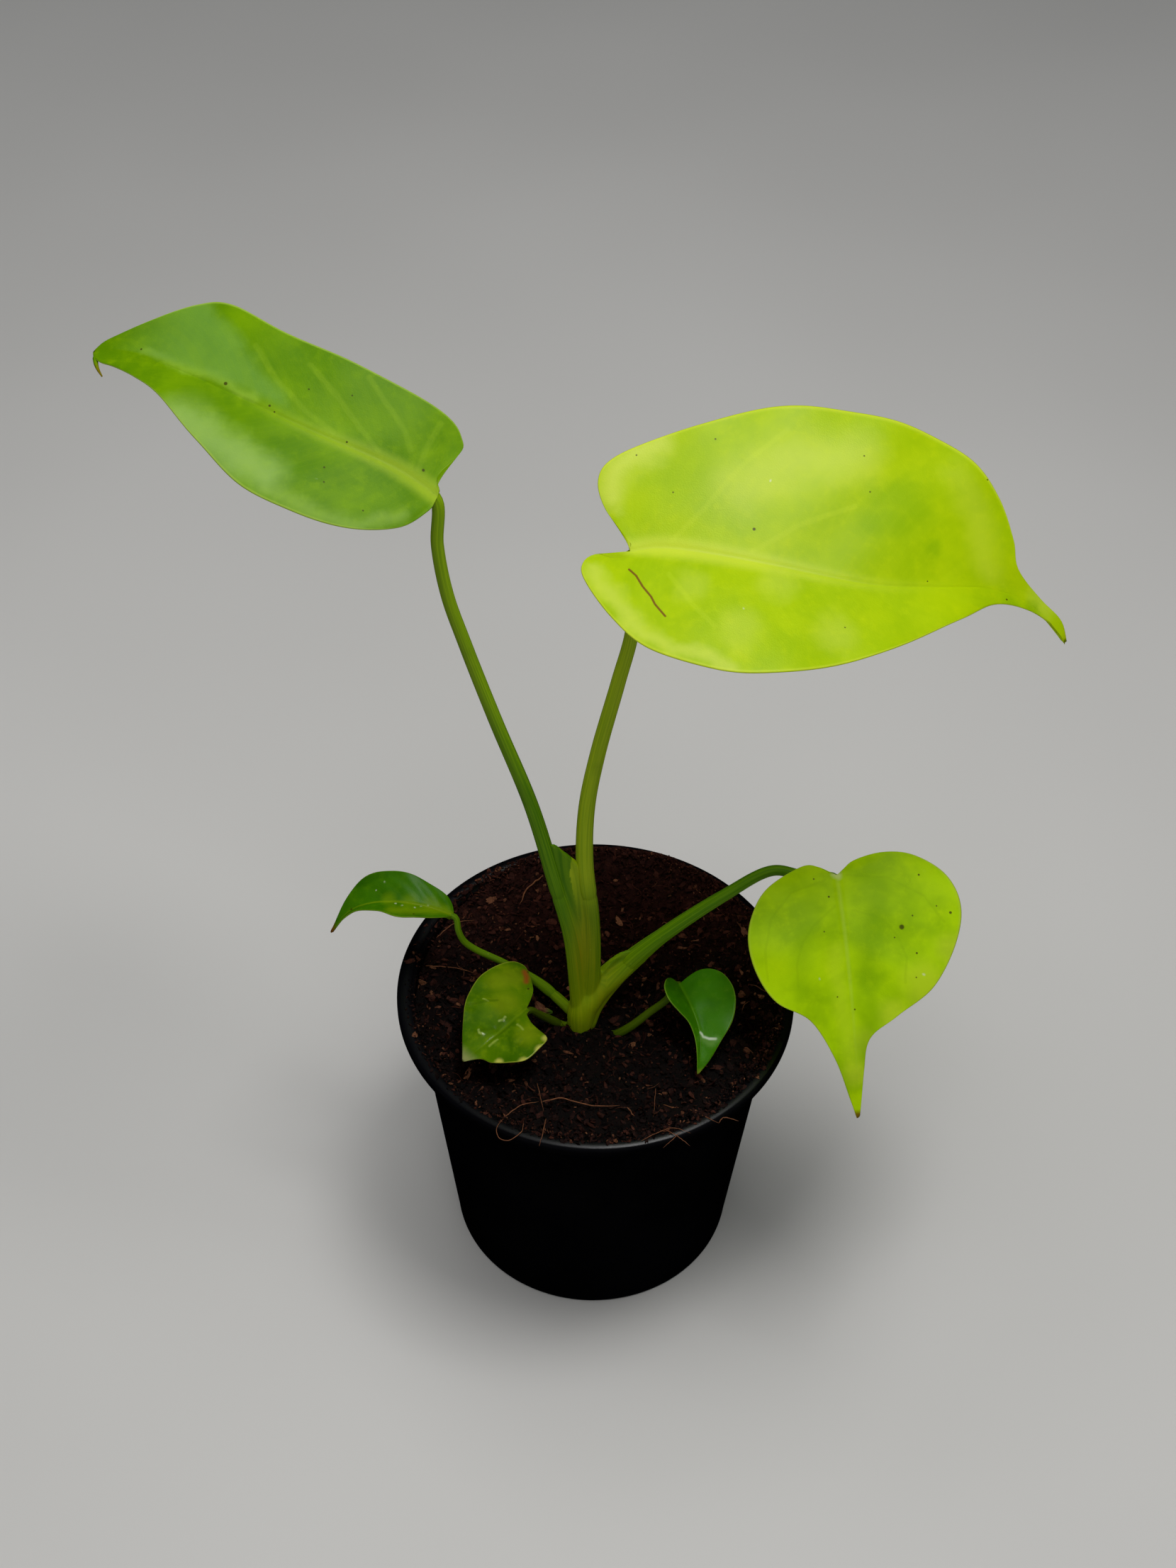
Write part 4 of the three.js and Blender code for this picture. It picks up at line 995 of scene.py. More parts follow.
def make_blade(name):
    blade = BLADES[name]
    share, side, rib, margin = blade_grid(blade)
    flat = rib + (margin - rib) * np.abs(side)[..., None]
    u, v = flat[..., 0], flat[..., 1]
    across = v - rib[..., 1]
    reach = np.linalg.norm(flat - rib, axis=-1)
    from_margin = np.linalg.norm(margin - flat, axis=-1)
    lift = blade_lift(blade, u, across) + blade_waves(blade, share, side, u, v)
    body = np.stack([u, v, lift], -1)
    normal = blade_normals(blade, u, across)
    up, down = blade_depths(blade, u, reach, from_margin)
    top = (body + normal * up[..., None]).reshape(-1, 3)
    under = (body - normal * down[..., None]).reshape(-1, 3)
    faces, inner = two_faced(blade["rows"], blade["columns"])
    leaf = np.stack([share, side, reach], -1).reshape(-1, 3)
    place = np.stack([u, v, np.zeros_like(u)], -1).reshape(-1, 3)
    vertices = np.vstack([top, under[inner]])
    leaf = np.vstack([leaf, leaf[inner]])
    place = np.vstack([place, place[inner] - (0, 0, 1)])
    if "tip_hook" in blade:
        hook, hook_faces, _, lengths = tip_hook(blade)
        faces += shifted(hook_faces, len(vertices))
        vertices = np.vstack([vertices, hook])
        leaf = np.vstack([leaf, np.full_like(hook, 0.5)])
        place = np.vstack([place, np.stack([blade["length"] + lengths, hook[:, 1], hook[:, 2] * 0], 1)])
    vertices = vertices @ blade_turn(blade).T + blade["base"]
    piece = make_piece(f"{name}_leaf", vertices, faces, [leaf_material(name)])
    paint_points(piece, "leaf", leaf)
    paint_points(piece, "place", place)
    slot = {"tall_left": "mid_green_leaf", "bitten": "mid_green_leaf", "tall_right": "lime_leaf",
            "heart": "lime_leaf"}.get(name, "dark_green_leaf")
    return seat(piece, slot, f"blade_{name}")


# Stalks and stem base


def stalk_line(name):
    """The stalk's middle line, which runs on a little way along the rib under its blade."""
    stalk, blade = STALKS[name], BLADES[name]
    turn = blade_turn(blade)
    radius = stalk["radii"][-1][1]
    rib_start = along(blade["rib"], [0.06])[0]
    under = (rib_start[0], rib_start[1], blade_lift(blade, rib_start[0], np.float64(0)) - radius - 0.5)
    ends = [turn @ np.array(point) + blade["base"] for point in (stalk["top"], under)]
    return spline(list(stalk["path"]) + ends, 0.5)


def stalk_stretch(name, start, end, step=1.0):
    """Points and radii from start to end, distances along the stalk. end None runs to its blade."""
    dense = stalk_line(name)
    lengths = lengths_along(dense)
    end = lengths[-1] if end is None else end
    at = np.linspace(start, end, max(8, round((end - start) / step)))
    points = np.stack([np.interp(at, lengths, dense[:, axis]) for axis in range(3)], 1)
    places, radii = zip(*STALKS[name]["radii"])
    return points, np.interp(at, places, radii), at


def stalk_tint(name, vertices, clear):
    """How warm, how pale and how dark a stalk's skin is at each point, from 0 to 1. clear goes from 0 at its
    foot to 1 where it has left the stem base."""
    x, _, z = np.asarray(vertices).T
    warm = np.exp(-((x + 3.5) / 4.2) ** 2 - ((z - 138) / 20) ** 2)
    warm = np.maximum(warm, 0.6 * np.exp(-((x - 3) / 6) ** 2 - ((z - 118) / 9) ** 2))
    pale = np.maximum(0.9 * np.exp(-((z - 110) / 15) ** 2), 0.4 * np.clip((z - 190) / 50, 0, 1))
    if name == "tall_right":
        pale = np.maximum(pale, 0.85 * np.clip((z - 150) / 15, 0, 1))
    # a low thin stalk is darkened and its paleness taken away: partly its own dull colour, partly painted
    # shade where it lies low in the leaves' shadow
    dark = STALKS[name].get("dark", 0)
    if dark:
        pale = pale * (1 - 0.85 * clear)
    return np.stack([warm, pale, dark * clear], 1)


def make_stalk(name, material):
    stalk = STALKS[name]
    start = stalk["join"] - 3
    points, radii, _ = stalk_stretch(name, start, None)
    radii = radii + 0.04  # the stalk wraps the stem base's own stretch of it
    radii[:3] *= (0.86, 0.95, 0.99)

    def ribs(angles, share):
        return 1 + 0.012 * np.cos(angles * 7 + share * 3) + 0.01 * np.cos(angles * 12 - share * 5)

    vertices, faces, around, lengths = sweep(points, radii, 28, ribs)
    piece = make_piece(f"{name}_stalk", vertices, faces, [material])
    paint_points(piece, "grain", np.stack([np.cos(around), np.sin(around), (lengths + start) * 0.1], 1))
    paint_points(piece, "tint", stalk_tint(name, vertices, np.ones(len(vertices))) * (0.8, 1, 1))
    return seat(piece, "green_stem", f"stalk_{name}")


def web_solid(left, right, thick, rows=40, columns=14):
    """A closed thin sheet between two lines. thick gives its thickness from the first row to the last."""
    shares = np.linspace(0, 1, rows)
    one = along(left, shares, 0.5)
    other = along(right, shares, 0.5)
    cross = np.linspace(0, 1, columns)
    middle = one[:, None] + (other - one)[:, None] * cross[None, :, None]
    along_ = np.gradient(middle, axis=0)
    over = np.gradient(middle, axis=1)
    normal = unit(np.cross(over, along_))
    half = np.interp(shares, np.linspace(0, 1, len(thick)), thick)[:, None] / 2
    front = middle + normal * half[..., None]
    back = middle - normal * half[..., None]
    count = rows * columns
    vertices = np.vstack([front.reshape(-1, 3), back.reshape(-1, 3)])
    faces = [tuple(reversed(face)) for face in grid_faces(rows, columns)]
    faces += grid_faces(rows, columns, first=count)
    index = np.arange(count).reshape(rows, columns)
    border = np.concatenate([index[0, :-1], index[:-1, -1], index[-1, :0:-1], index[:0:-1, 0]])
    for a, b in zip(border, np.roll(border, -1)):
        faces.append((int(a), int(b), int(b) + count, int(a) + count))
    return vertices, faces


def stem_base_parts():
    """The overlapping closed solids of the stem base: stalk feet, the heart leaf's sheath and two webs."""
    parts = []
    for name, stalk in STALKS.items():
        points, radii, at = stalk_stretch(name, 0, stalk["join"])
        radii = radii * np.where(at > stalk["join"] - 4, 0.93, 1)
        parts.append(sweep(points, radii, 20)[:2])
    parts.append(web_solid(*TALL_WEB))
    shares = np.linspace(0, 1, 40)
    places, widths = zip(*HEART_SHEATH["radii"])
    parts.append(sweep(along(HEART_SHEATH["path"], shares, 0.5), np.interp(shares, places, widths), 32)[:2])
    parts.append(web_solid(*HEART_WEB))
    return parts


def joined(parts):
    """One list of vertices and one of faces for several meshes."""
    vertices, faces, first = [], [], 0
    for part_vertices, part_faces in parts:
        vertices.append(part_vertices)
        faces += shifted(part_faces, first)
        first += len(part_vertices)
    return np.vstack(vertices), faces


def knit(piece):
    """Grows the overlapping solids of a piece into one smooth skin. Returns its points in millimetres."""
    remesh = piece.modifiers.new("knit", "REMESH")
    remesh.mode = "VOXEL"
    remesh.voxel_size = 0.35 * MM
    smooth = piece.modifiers.new("soften", "SMOOTH")
    smooth.factor = 0.5
    smooth.iterations = 14
    plain_mesh(piece)
    piece.data.shade_smooth()
    places = np.empty(len(piece.data.vertices) * 3)
    piece.data.vertices.foreach_get("co", places)
    return places.reshape(-1, 3) / MM


def make_stem_base(material):
    piece = make_piece("stem_base_skin", *joined(stem_base_parts()), [material])
    places = knit(piece)
    count = len(places)
    smallest_gap = np.full(count, np.inf)
    grain, tint = np.zeros((count, 3)), np.zeros((count, 3))
    for name, stalk in STALKS.items():
        points, radii, at = stalk_stretch(name, 0, stalk["join"] + 6)
        _, sides, ups = moving_frames(points)
        nearest = np.linalg.norm(places[:, None] - points[None], axis=2).argmin(axis=1)
        out = places - points[nearest]
        gap = np.linalg.norm(out, axis=1) - radii[nearest]
        angle = np.arctan2((out * ups[nearest]).sum(1), (out * sides[nearest]).sum(1))
        better = gap < smallest_gap
        values = np.stack([np.cos(angle), np.sin(angle), at[nearest] * 0.1], 1)
        grain[better] = values[better]
        clear = np.clip(at[nearest[better]] / stalk["join"], 0, 1)
        tint[better] = stalk_tint(name, places[better], clear)
        smallest_gap = np.minimum(smallest_gap, gap)
    paint_points(piece, "grain", grain)
    paint_points(piece, "tint", tint)
    return seat(piece, "green_stem", "stem_base")


# Pot


def arc(centre_r, centre_z, radius, start, end, steps=6):
    angles = np.radians(np.linspace(start, end, steps))
    return [(centre_r + radius * math.cos(a), centre_z + radius * math.sin(a)) for a in angles]


def pot_profile():
    """Radius and height round the pot's section, from the middle underneath to the middle inside."""
    band_foot = POT_HEIGHT - BAND_HEIGHT
    floor = GROOVE_HEIGHT + POT_WALL
    under_lip = POT_HEIGHT - LIP_THICKNESS
    skirt_foot = POT_HEIGHT - SKIRT_DROP
    inside_band = BAND_RADIUS - POT_WALL
    inside_foot = FOOT_RADIUS - POT_WALL
    outline = [(GROOVE_INNER - 0.4, 0)]
    outline += [(GROOVE_INNER + GROOVE_SLOPE * t, GROOVE_HEIGHT * t) for t in (0.1, 0.9)]
    outline += [(GROOVE_INNER + GROOVE_SLOPE + 0.5, GROOVE_HEIGHT)]
    outline += [(GROOVE_OUTER - GROOVE_SLOPE - 0.5, GROOVE_HEIGHT)]
    outline += [(GROOVE_OUTER - GROOVE_SLOPE * (1 - t), GROOVE_HEIGHT * (1 - t)) for t in (0.1, 0.9)]
    outline += [(GROOVE_OUTER + 0.4, 0)]
    outline += arc(FOOT_RADIUS - 1, 1, 1, -90, 0)
    wall_foot, wall_top = np.array([FOOT_RADIUS, 1.6]), np.array([WALL_TOP_RADIUS, band_foot - BAND_SLOPE])
    outline += [tuple(wall_foot + (wall_top - wall_foot) * t) for t in np.linspace(0.02, 0.97, 12)]
    outline += arc(WALL_TOP_RADIUS + 0.1, band_foot - BAND_SLOPE + 0.4, 0.6, -60, -10, 3)
    outline += [(BAND_RADIUS - 0.5, band_foot - 0.25), (BAND_RADIUS - 0.05, band_foot + 0.3)]
    outline += [(BAND_RADIUS, band_foot + 1)]
    outline += [(BAND_RADIUS, under_lip - 0.4), (BAND_RADIUS + 0.4, under_lip)]
    outline += [(RIM_RADIUS - SKIRT_WALL - 0.3, under_lip), (RIM_RADIUS - SKIRT_WALL, under_lip - 0.3)]
    outline += arc(RIM_RADIUS - SKIRT_WALL + 0.35, skirt_foot + 0.35, 0.35, 180, 270, 4)
    outline += arc(RIM_RADIUS - 0.35, skirt_foot + 0.35, 0.35, 270, 360, 4)
    outline += arc(RIM_RADIUS - 1.1, POT_HEIGHT - 1.5, 1.1, 0, 55, 6)
    crown_radius = RIM_RADIUS - LIP_WIDTH / 2
    outline += arc(crown_radius, POT_HEIGHT - 3.4, 3.4, 62, 124, 12)
    outline += arc(RIM_RADIUS - LIP_WIDTH + 0.8, POT_HEIGHT - 1.5, 0.8, 130, 175, 4)
    outline += [(inside_band, under_lip - 0.6), (inside_band, band_foot + 0.2)]
    outline += [(WALL_TOP_RADIUS - POT_WALL, band_foot - BAND_SLOPE - 0.2), (inside_foot, floor + 1)]
    outline += [(inside_foot - 1, floor)]
    return outline


def make_pot():
    outline = pot_profile()
    angles = np.arange(POT_SIDES) * TURN / POT_SIDES
    radii, heights = np.array(outline).T
    vertices = np.stack([np.outer(radii, np.cos(angles)), np.outer(radii, np.sin(angles)),
                         np.outer(heights, np.ones(POT_SIDES))], -1).reshape(-1, 3)
    vertices = np.vstack([vertices, [[0, 0, 0]], [[0, 0, heights[-1]]]])
    rows = len(outline)
    faces = grid_faces(rows, POT_SIDES, closed=True)
    faces += end_fans(rows * POT_SIDES, rows * POT_SIDES + 1, (rows - 1) * POT_SIDES, POT_SIDES)
    pot = make_piece("nursery_pot", vertices, faces, [pot_material()])
    cut_drain_holes(pot)
    for polygon in pot.data.polygons:
        polygon.use_smooth = True
    pot.data.set_sharp_from_angle(angle=math.radians(32))
    return seat(pot, "pot_plastic", "pot")


def cut_drain_holes(pot):
    bm = bmesh.new()
    for i in range(DRAIN["count"]):
        angle = (i + 0.5) * TURN / DRAIN["count"]
        centre = Vector((math.cos(angle), math.sin(angle), 0)) * DRAIN["ring"] * MM
        bmesh.ops.create_cone(bm, cap_ends=True, segments=32, radius1=DRAIN["radius"] * MM,
                              radius2=DRAIN["radius"] * MM, depth=20 * MM, matrix=Matrix.Translation(centre))
    mesh = bpy.data.meshes.new("drills")
    bm.to_mesh(mesh)
    bm.free()
    drills = bpy.data.objects.new("drills", mesh)
    bpy.context.scene.collection.objects.link(drills)
    cut = pot.modifiers.new("drain", "BOOLEAN")
    cut.operation = "DIFFERENCE"
    cut.object = drills
    cut.solver = "EXACT"
    plain_mesh(pot)
    bpy.data.objects.remove(drills)


# Potting mix


def soil_height(x, y):
    reach = np.hypot(x, y) / WALL_TOP_RADIUS
    turn = np.arctan2(y, x)
    fall = np.clip(np.cos(turn - SOIL_OPEN_SIDE), 0, 1) ** 2
    edge = SOIL_HEAP * (1 - fall) - SOIL_EDGE_DROP * fall - 0.3
    return (SOIL_LEVEL + SOIL_TILT * reach * np.cos(turn - SOIL_HIGH_SIDE) + edge * reach ** 6
            + np.sin(0.31 * x + 1) * np.cos(0.27 * y) * SOIL_LUMP)


def crumble(x, y):
    """Small heaps and hollows of the loose mix."""
    waves = ((0.16, 3, 1.4), (0.42, 7, 0.8), (1.1, 11, 0.35))  # how close, which slice and how high
    heaps = [sum(noise.noise(Vector((a * close, b * close, slice_))) * high for close, slice_, high in waves)
             for a, b in zip(np.ravel(x), np.ravel(y))]
    return np.reshape(heaps, np.shape(x))


def ring_points(radii, heights, sides):
    """Points on rings round the pot's axis, a row for each ring. heights fits the rows or every point."""
    angles = np.arange(sides) * TURN / sides
    x, y = np.outer(radii, np.cos(angles)), np.outer(radii, np.sin(angles))
    z = heights(x, y) if callable(heights) else np.outer(heights, np.ones(sides))
    return np.stack([x, y, z], -1)


def make_soil():
    rings, sides = 90, 240
    radii = np.linspace(SOIL_RADIUS / rings, SOIL_RADIUS, rings)
    calm = (0.3 + 0.7 * np.clip((SOIL_RADIUS - radii) / 4, 0, 1))[:, None]
    top = ring_points(radii, lambda x, y: soil_height(x, y) + crumble(x, y) * calm - 0.3, sides)
    wall = ring_points(*zip(*SOIL_WALL), sides)
    middle = [[0, 0, soil_height(0, 0)]]
    vertices = np.vstack([middle, top.reshape(-1, 3), wall.reshape(-1, 3), [[0, 0, SOIL_FLOOR]]])
    rows = rings + len(SOIL_WALL)
    faces = [tuple(reversed(face)) for face in grid_faces(rows, sides, first=1, closed=True)]
    last, bottom = 1 + (rows - 1) * sides, 1 + rows * sides
    for j in range(sides):
        k = (j + 1) % sides
        faces.append((0, 1 + j, 1 + k))
        faces.append((bottom, last + k, last + j))
    return seat(make_piece("potting_mix_bed", vertices, faces, [mix_material()]), "potting_mix", "soil")


def put_in_box(box, bm):
    """Adds a finished shape to a hidden box of shapes for strewing."""
    mesh = bpy.data.meshes.new(f"{box.name}_{len(box.objects)}")
    bm.to_mesh(mesh)
    bm.free()
    box.objects.link(bpy.data.objects.new(mesh.name, mesh))


def chip_shapes(name, count, subdivisions, sizes, seed):
    """A hidden box of torn lumps and flakes, about one unit long, for strewing."""
    random = np.random.default_rng(seed)
    box = bpy.data.collections.new(name)
    for i in range(count):
        bm = bmesh.new()
        bmesh.ops.create_icosphere(bm, subdivisions=subdivisions, radius=0.5)
        long, wide, thick = sizes[i % len(sizes)]
        shear = random.uniform(-0.5, 0.5, 2)
        for vertex in bm.verts:
            away = Vector(random.uniform(0.68, 1.25, 3))
            x, y, z = vertex.co * away
            vertex.co = Vector((x * long + z * shear[0], y * wide + x * shear[1] * wide, z * thick)) * MM
        put_in_box(box, bm)
    return box


def flake_shapes(name, count, seed):
    """A hidden box of thin torn flakes of husk, about three units long, for strewing."""
    random = np.random.default_rng(seed)
    box = bpy.data.collections.new(name)
    for _ in range(count):
        long, wide, thick = random.uniform(1.3, 2.2), random.uniform(0.55, 1.1), random.uniform(0.16, 0.4)
        curve, twist = random.uniform(-0.25, 0.35), random.uniform(-0.5, 0.5)
        bm = bmesh.new()
        bmesh.ops.create_grid(bm, x_segments=5, y_segments=3, size=1)
        for vertex in bm.verts:
            x, y, _ = vertex.co
            ragged = random.uniform(0.72, 1.12) if abs(x) > 0.9 else random.uniform(0.9, 1.06)
            narrow = 1 - 0.45 * x * x * random.uniform(0.4, 1.2)
            vertex.co = Vector((x * long * ragged, y * wide * narrow * random.uniform(0.85, 1.15),
                                curve * x * x + twist * x * y + random.uniform(-0.08, 0.08))) * MM
        bmesh.ops.solidify(bm, geom=bm.faces[:], thickness=thick * MM)
        bmesh.ops.recalc_face_normals(bm, faces=bm.faces[:])
        put_in_box(box, bm)
    return box


def strand_shapes(name, count, seed):
    """A hidden box of short bent strands, about ten units long, for strewing."""
    random = np.random.default_rng(seed)
    box = bpy.data.collections.new(name)
    for i in range(count):
        bend = random.uniform(-1.6, 1.6, (3, 2))
        path = [(-5, 0, 0), (-1.8, bend[0][0], abs(bend[0][1]) * 0.5),
                (1.8, bend[1][0], abs(bend[1][1]) * 0.5), (5, bend[2][0], bend[2][1] * 0.7)]
        points = along(path, np.linspace(0, 1, 8), 0.5)
        radii = np.interp(np.linspace(0, 1, 8), (0, 0.2, 0.8, 1), (0.06, 0.14, 0.12, 0.04))
        vertices, faces, _, _ = sweep(points, radii, 4, cap=1)
        mesh = bpy.data.meshes.new(f"{name}_{i}")
        mesh.from_pydata((vertices * MM).tolist(), [], faces)
        box.objects.link(bpy.data.objects.new(f"{name}_{i}", mesh))
    return box


def strewing_tree():
    """A tree that strews shapes over a surface, each with its own turn, size and tone."""
    tree = bpy.data.node_groups.new("strew", "GeometryNodeTree")
    tree.is_modifier = True
    kinds = {"Surface": "NodeSocketGeometry", "Shapes": "NodeSocketCollection", "Density": "NodeSocketFloat",
             "Smallest": "NodeSocketFloat", "Largest": "NodeSocketFloat", "Tilt": "NodeSocketFloat",
             "Seed": "NodeSocketInt", "Finish": "NodeSocketMaterial"}
    for name, kind in kinds.items():
        tree.interface.new_socket(name, in_out="INPUT", socket_type=kind)
    tree.interface.new_socket("Strewn", in_out="OUTPUT", socket_type="NodeSocketGeometry")
    sheet = Sheet(tree)
    entry = tree.nodes.new("NodeGroupInput")
    given = {name: Wire(sheet, entry.outputs[name]) for name in kinds}
    cover = sheet.add("GeometryNodeInputNamedAttribute", {"data_type": "FLOAT"}, {"Name": "cover"})
    points = sheet.add("GeometryNodeDistributePointsOnFaces", None,
                       {"Mesh": given["Surface"], "Density": given["Density"] * cover, "Seed": given["Seed"]})
    lie = Wire(sheet, points.socket.node.outputs["Rotation"])
    shapes = sheet.add("GeometryNodeCollectionInfo", None,
                       {"Collection": given["Shapes"], "Separate Children": True, "Reset Children": True})
    tilt = sheet.vector(given["Tilt"], given["Tilt"], TURN / 2)
    back = sheet.vector(given["Tilt"] * -1.0, given["Tilt"] * -1.0, -TURN / 2)

    def random(kind, low, high, step):
        """A random value for each shape. Its sockets' places follow from the kind of value."""
        place = {"FLOAT_VECTOR": 0, "FLOAT": 1, "INT": 2}[kind]
        inputs = {2 * place: low, 2 * place + 1: high, 8: given["Seed"] + step}
        return sheet.add("FunctionNodeRandomValue", {"data_type": kind}, inputs, place)

    turn = random("FLOAT_VECTOR", back, tilt, 1)
    size = random("FLOAT", 0.0, 1.0, 2) ** 1.7
    size = given["Smallest"] + size * (given["Largest"] - given["Smallest"])
    pick = random("INT", 0, 99, 3)
    turned = sheet.add("FunctionNodeRotateRotation", {"rotation_space": "LOCAL"}, {0: lie, 1: turn})
    placed = sheet.add("GeometryNodeInstanceOnPoints", None,
                       {"Points": points, "Instance": shapes, "Pick Instance": True, "Instance Index": pick,
                        "Rotation": turned, "Scale": size})
    tone = random("FLOAT", 0.0, 1.0, 4)
    toned = sheet.add("GeometryNodeStoreNamedAttribute", {"data_type": "FLOAT", "domain": "INSTANCE"},
                      {"Geometry": placed, "Name": "tone", "Value": tone})
    real = sheet.add("GeometryNodeRealizeInstances", None, {0: toned})
    finished = sheet.add("GeometryNodeSetMaterial", None, {"Geometry": real, "Material": given["Finish"]})
    leave = tree.nodes.new("NodeGroupOutput")
    tree.links.new(finished.socket, leave.inputs[0])
    return tree


def everywhere(x, y):
    return np.ones_like(x)


def over_the_rim(x, y):
    """The mix spills onto the lip at the back and the right, hardly at all at the open side."""
    turn = np.arctan2(y, x)
    back = np.clip(np.cos(turn - 1.4), 0, 1) ** 2
    right = np.clip(np.cos(turn + 0.75), 0, 1) ** 4
    front = 0.75 * np.clip(-np.sin(turn), 0, 1)
    return np.clip(0.1 + back + right + front, 0, 1)


def heaped_behind(x, y):
    """Where the mix stands above the rim: three low heaps at the back and one at the right."""
    turn = np.arctan2(y, x)
    places = ((2.05, 0.16), (1.25, 0.3), (0.9, 0.2), (-0.5, 0.1))
    heaps = [np.exp(-((turn - at) / wide) ** 2) for at, wide in places]
    return np.clip(sum(heaps), 0, 1)


# What is strewn: name, box of shapes, number to the square millimetre, smallest and largest, tilt, seed, the
# radii between which it lies, how far it is lifted over the bed, and where it is dense

STREWN = [
    ("coir_lumps", "lumps", 0.11, (0.5, 1.5), 1.2, 11, (1, 54), -0.2, everywhere),
    ("coir_flakes", "flakes", 0.15, (0.4, 1.1), 1.0, 17, (1, 54), 0.3, everywhere),
    ("coir_crumbs", "crumbs", 0.62, (0.4, 1.2), 3.0, 23, (1, 54.5), 0, everywhere),
    ("coir_strands", "strands", 0.08, (0.2, 0.7), 0.6, 37, (1, 53), 0.6, everywhere),
    ("coir_on_the_lip", "flakes", 0.55, (0.25, 0.8), 0.6, 41, (53.6, 57.9), 0.4, over_the_rim),
    ("crumbs_on_the_lip", "crumbs", 1.6, (0.5, 1.3), 3.0, 43, (53.6, 57.7), 0.4, over_the_rim),
    ("coir_heaped_behind", "lumps", 0.5, (0.4, 1.0), 1.2, 47, (52, 58), 1.0, heaped_behind),
    ("crumbs_heaped_behind", "crumbs", 0.8, (0.5, 1.3), 3.0, 53, (50, 56.8), 0.5, heaped_behind),
]


def strewing_ground(ends, lift):
    """Rings over the bed that beyond its edge climb or slope onto the pot's lip."""
    radii = np.linspace(*ends, 30)
    inside = np.minimum(1, SOIL_RADIUS / radii)[:, None]
    beyond = (radii - SOIL_RADIUS)[:, None]
    lip_top = POT_HEIGHT + LIP_CLEARANCE

    def height(x, y):
        z = soil_height(x * inside, y * inside) + crumble(x, y) * STREWN_BUMPS + lift
        z = z + (np.maximum(z, lip_top) - z) * np.clip(beyond / LIP_CLIMB, 0, 1)
        return z - np.maximum(z - lip_top, 0) * np.clip(beyond / LIP_SLOPE, 0, 1)

    return ring_points(radii, height, 90)


def strew(tree, boxes, material, row):
    name, shapes, density, sizes, tilt, seed, ends, lift, cover = row
    ground = strewing_ground(ends, lift)
    rings, sides, _ = ground.shape
    faces = [tuple(reversed(face)) for face in grid_faces(rings, sides, closed=True)]
    piece = make_piece(name, ground.reshape(-1, 3), faces, [], smooth=False)
    layer = piece.data.attributes.new("cover", "FLOAT", "POINT")
    layer.data.foreach_set("value", cover(ground[..., 0], ground[..., 1]).ravel().astype(np.float32))
    modifier = piece.modifiers.new("strew", "NODES")
    modifier.node_group = tree
    values = {"Shapes": boxes[shapes], "Density": density / MM ** 2, "Smallest": sizes[0],
              "Largest": sizes[1], "Tilt": tilt, "Seed": seed, "Finish": material}
    for item in tree.interface.items_tree:
        if item.in_out == "INPUT" and item.name in values:
            modifier[item.identifier] = values[item.name]
    plain_mesh(piece)
    return seat(piece, "potting_mix")


def make_strewn_mix():
    tree = strewing_tree()
    material = chip_material()
    boxes = {
        "lumps": chip_shapes("lumps", 8, 2, [(2.2, 1.3, 0.9), (1.5, 1.2, 0.8), (2.8, 0.9, 0.6)], 4),
        "crumbs": chip_shapes("crumbs", 6, 1, [(1.0, 0.8, 0.6), (1.3, 0.6, 0.5)], 9),
        "flakes": flake_shapes("flakes", 12, 6),
        "strands": strand_shapes("strands", 9, 5),
    }
    for row in STREWN:
        strew(tree, boxes, material, row)
    for box in boxes.values():
        for shape in list(box.objects):
            bpy.data.objects.remove(shape)
        bpy.data.collections.remove(box)


def make_fibre(points, radius, seed):
    """The mesh of one coir strand: vertices, faces and the directions that its grain follows."""
    share = np.linspace(0, 1, 60)
    path = along(points, share, 0.5)
    path = path + np.stack([noise_line(share, seed + k) for k in range(3)], 1) * radius * 1.2
    radii = radius * np.interp(share, (0, 0.15, 0.7, 1), (0.45, 1, 0.9, 0.25))
    radii = radii * (1 + 0.15 * noise_line(share, seed + 6))
    vertices, faces, around, lengths = sweep(path, radii, 8, cap=2)
    return vertices, faces, np.stack([np.cos(around), np.sin(around), lengths], 1)


def noise_line(share, seed):
    return np.array([noise.noise(Vector((s * 9, seed * 3.7, 0.5))) for s in share])


def make_fibres():
    material = fibre_material()
    for node, (points, radius) in FIBRES.items():
        vertices, faces, grain = make_fibre(points, radius, 3)
        piece = make_piece(f"coir_{node}", vertices, faces, [material])
        paint_points(piece, "grain", grain)
        seat(piece, "coir_fibre", node)
    strands = [make_fibre(points, radius, 5 + i) for i, (points, radius) in enumerate(LOOSE_STRANDS)]
    vertices, faces = joined([strand[:2] for strand in strands])
    piece = make_piece("coir_loose_strands", vertices, faces, [material])
    paint_points(piece, "grain", np.vstack([grain for _, _, grain in strands]))
    seat(piece, "coir_fibre")


def make_dry_sheath():
    shares = np.linspace(0, 1, 40)
    path = along(DRY_SHEATH_PATH, shares, 0.5)
    radii = np.interp(shares, (0, 0.3, 0.8, 1), (0.7, 1.6, 1.3, 0.5))

    def crumple(angles, share):
        flat = 0.55 + 0.45 * np.abs(np.cos(angles + share * 2))
        return flat * (1 + 0.15 * np.sin(angles * 5 + share * 13))

    vertices, faces, around, lengths = sweep(path, radii, 32, crumple)
    piece = make_piece("dry_leaf_sheath", vertices, faces, [dry_material()])
    paint_points(piece, "grain", np.stack([np.cos(around), np.sin(around), lengths], 1))
    green = np.clip((lengths - 4.5) / 1.5, 0, 1)
    paint_points(piece, "tint", np.stack([green, green, green], 1))
    return seat(piece, "dry_tissue", "dry_sheath")


# Studio


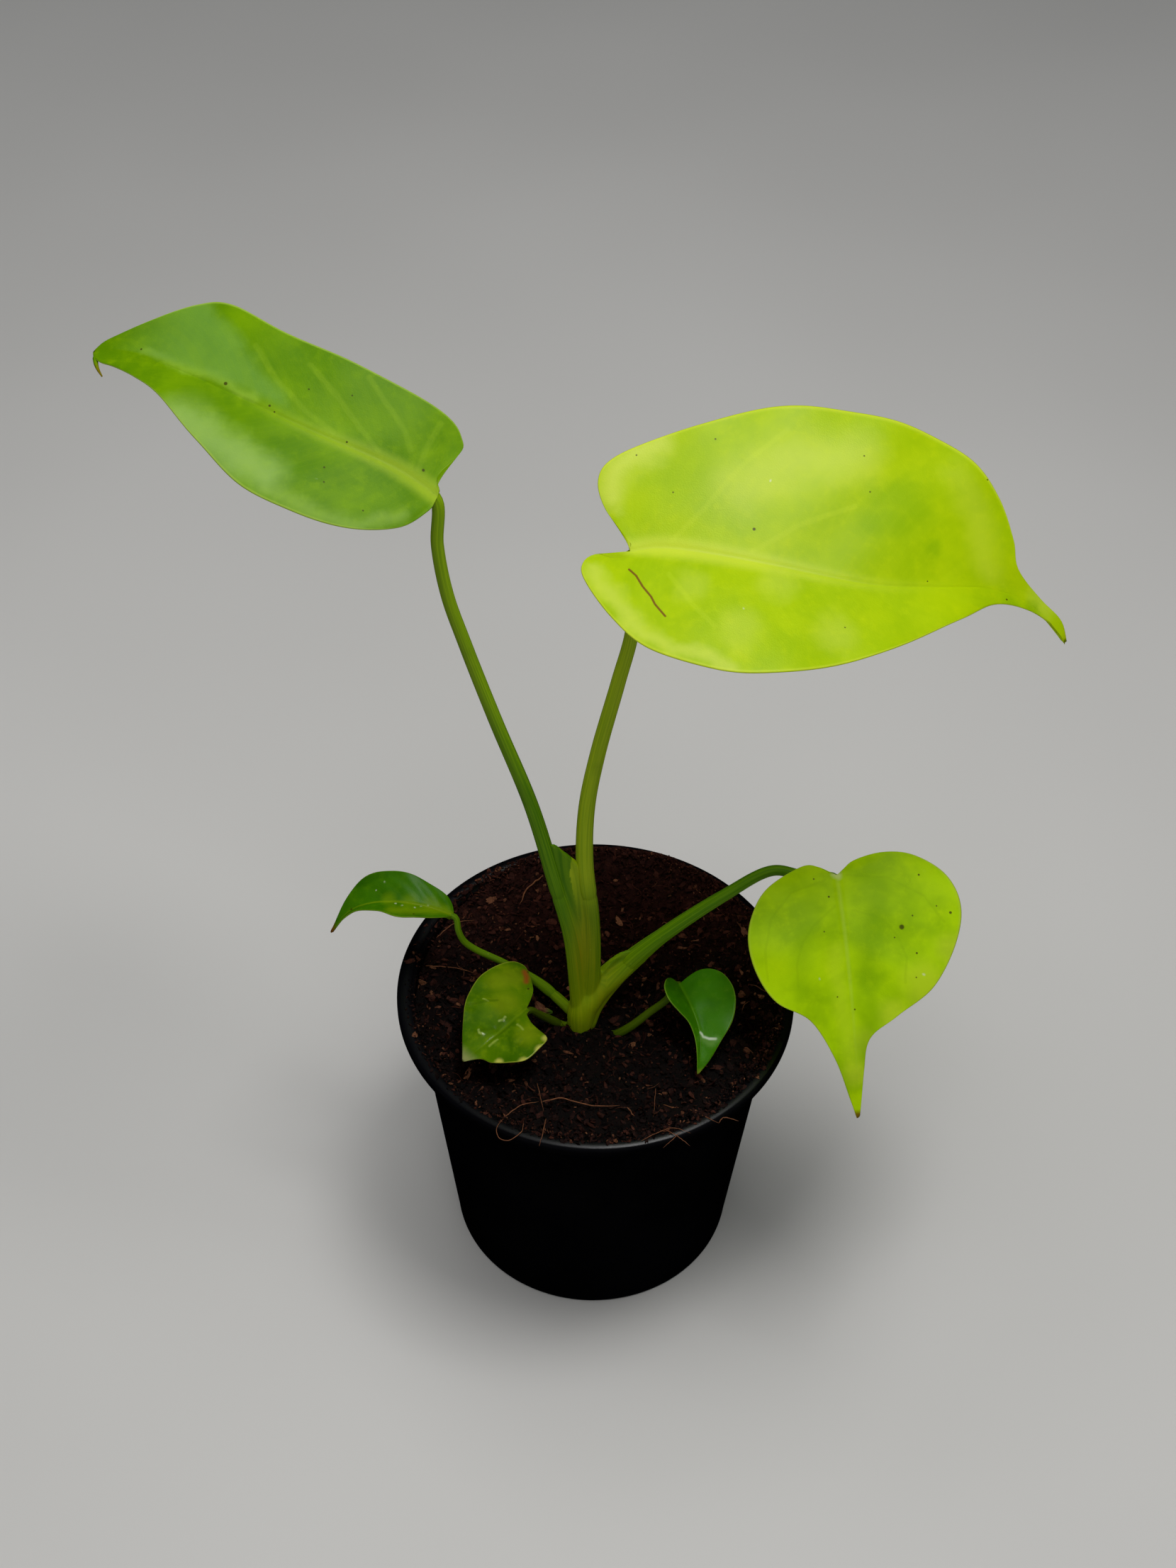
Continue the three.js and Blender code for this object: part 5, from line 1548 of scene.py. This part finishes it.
def make_floor():
    size = 3000
    vertices = [(-size, -size, 0), (size, -size, 0), (size, size, 0), (-size, size, 0)]
    floor = make_piece("floor", vertices, [(0, 1, 2, 3)], [floor_material()], smooth=False)
    floor.visible_glossy = False


def make_light(name, place, aim, width, height, power, mirrored=False):
    data = bpy.data.lights.new(name, "AREA")
    data.shape = "RECTANGLE"
    data.size, data.size_y = width * MM, height * MM
    data.energy = power
    light = bpy.data.objects.new(name, data)
    light.location = Vector(place) * MM
    light.rotation_euler = (Vector(aim) - Vector(place)).to_track_quat("-Z", "Y").to_euler()
    light.visible_camera = False
    light.visible_glossy = mirrored
    bpy.context.scene.collection.objects.link(light)


def make_camera():
    data = bpy.data.cameras.new("camera")
    data.lens = CAMERA_LENS
    data.sensor_width = CAMERA_SENSOR
    data.sensor_fit = "AUTO"
    data.clip_start = 0.01
    down, roll = math.radians(CAMERA_DOWN), math.radians(CAMERA_ROLL)
    ahead = Vector((0, math.cos(down), -math.sin(down)))
    level_up = Vector((0, math.sin(down), math.cos(down)))
    right = Vector((1, 0, 0)) * math.cos(roll) + level_up * math.sin(roll)
    up = level_up * math.cos(roll) - Vector((1, 0, 0)) * math.sin(roll)
    camera = bpy.data.objects.new("camera", data)
    turn = Matrix((right, up, -ahead)).transposed().to_4x4()
    camera.matrix_world = Matrix.Translation(Vector(CAMERA_PLACE) * MM) @ turn
    bpy.context.scene.collection.objects.link(camera)
    bpy.context.scene.camera = camera


def make_studio():
    make_floor()
    make_light("overhead_softbox", (150, -70, 900), (20, 0, 250), 260, 240, 2.0, mirrored=True)
    make_light("wide_overhead", (-80, 60, 1100), (0, 0, 150), 900, 900, 5.2)
    make_light("front_fill", (100, -900, 500), (0, 0, 120), 700, 500, 1)
    world = bpy.data.worlds.new("studio")
    bpy.context.scene.world = world
    world.use_nodes = True
    world.node_tree.nodes["Background"].inputs["Color"].default_value = (0.9, 0.95, 1, 1)
    world.node_tree.nodes["Background"].inputs["Strength"].default_value = 0.12
    world.cycles_visibility.glossy = False
    bpy.context.scene.view_settings.view_transform = "Standard"


make_camera()
make_studio()
make_pot()
make_soil()
make_strewn_mix()
make_fibres()
make_dry_sheath()
green_stem = stem_material()
make_stem_base(green_stem)
for blade_name in BLADES:
    make_blade(blade_name)
    make_stalk(blade_name, green_stem)
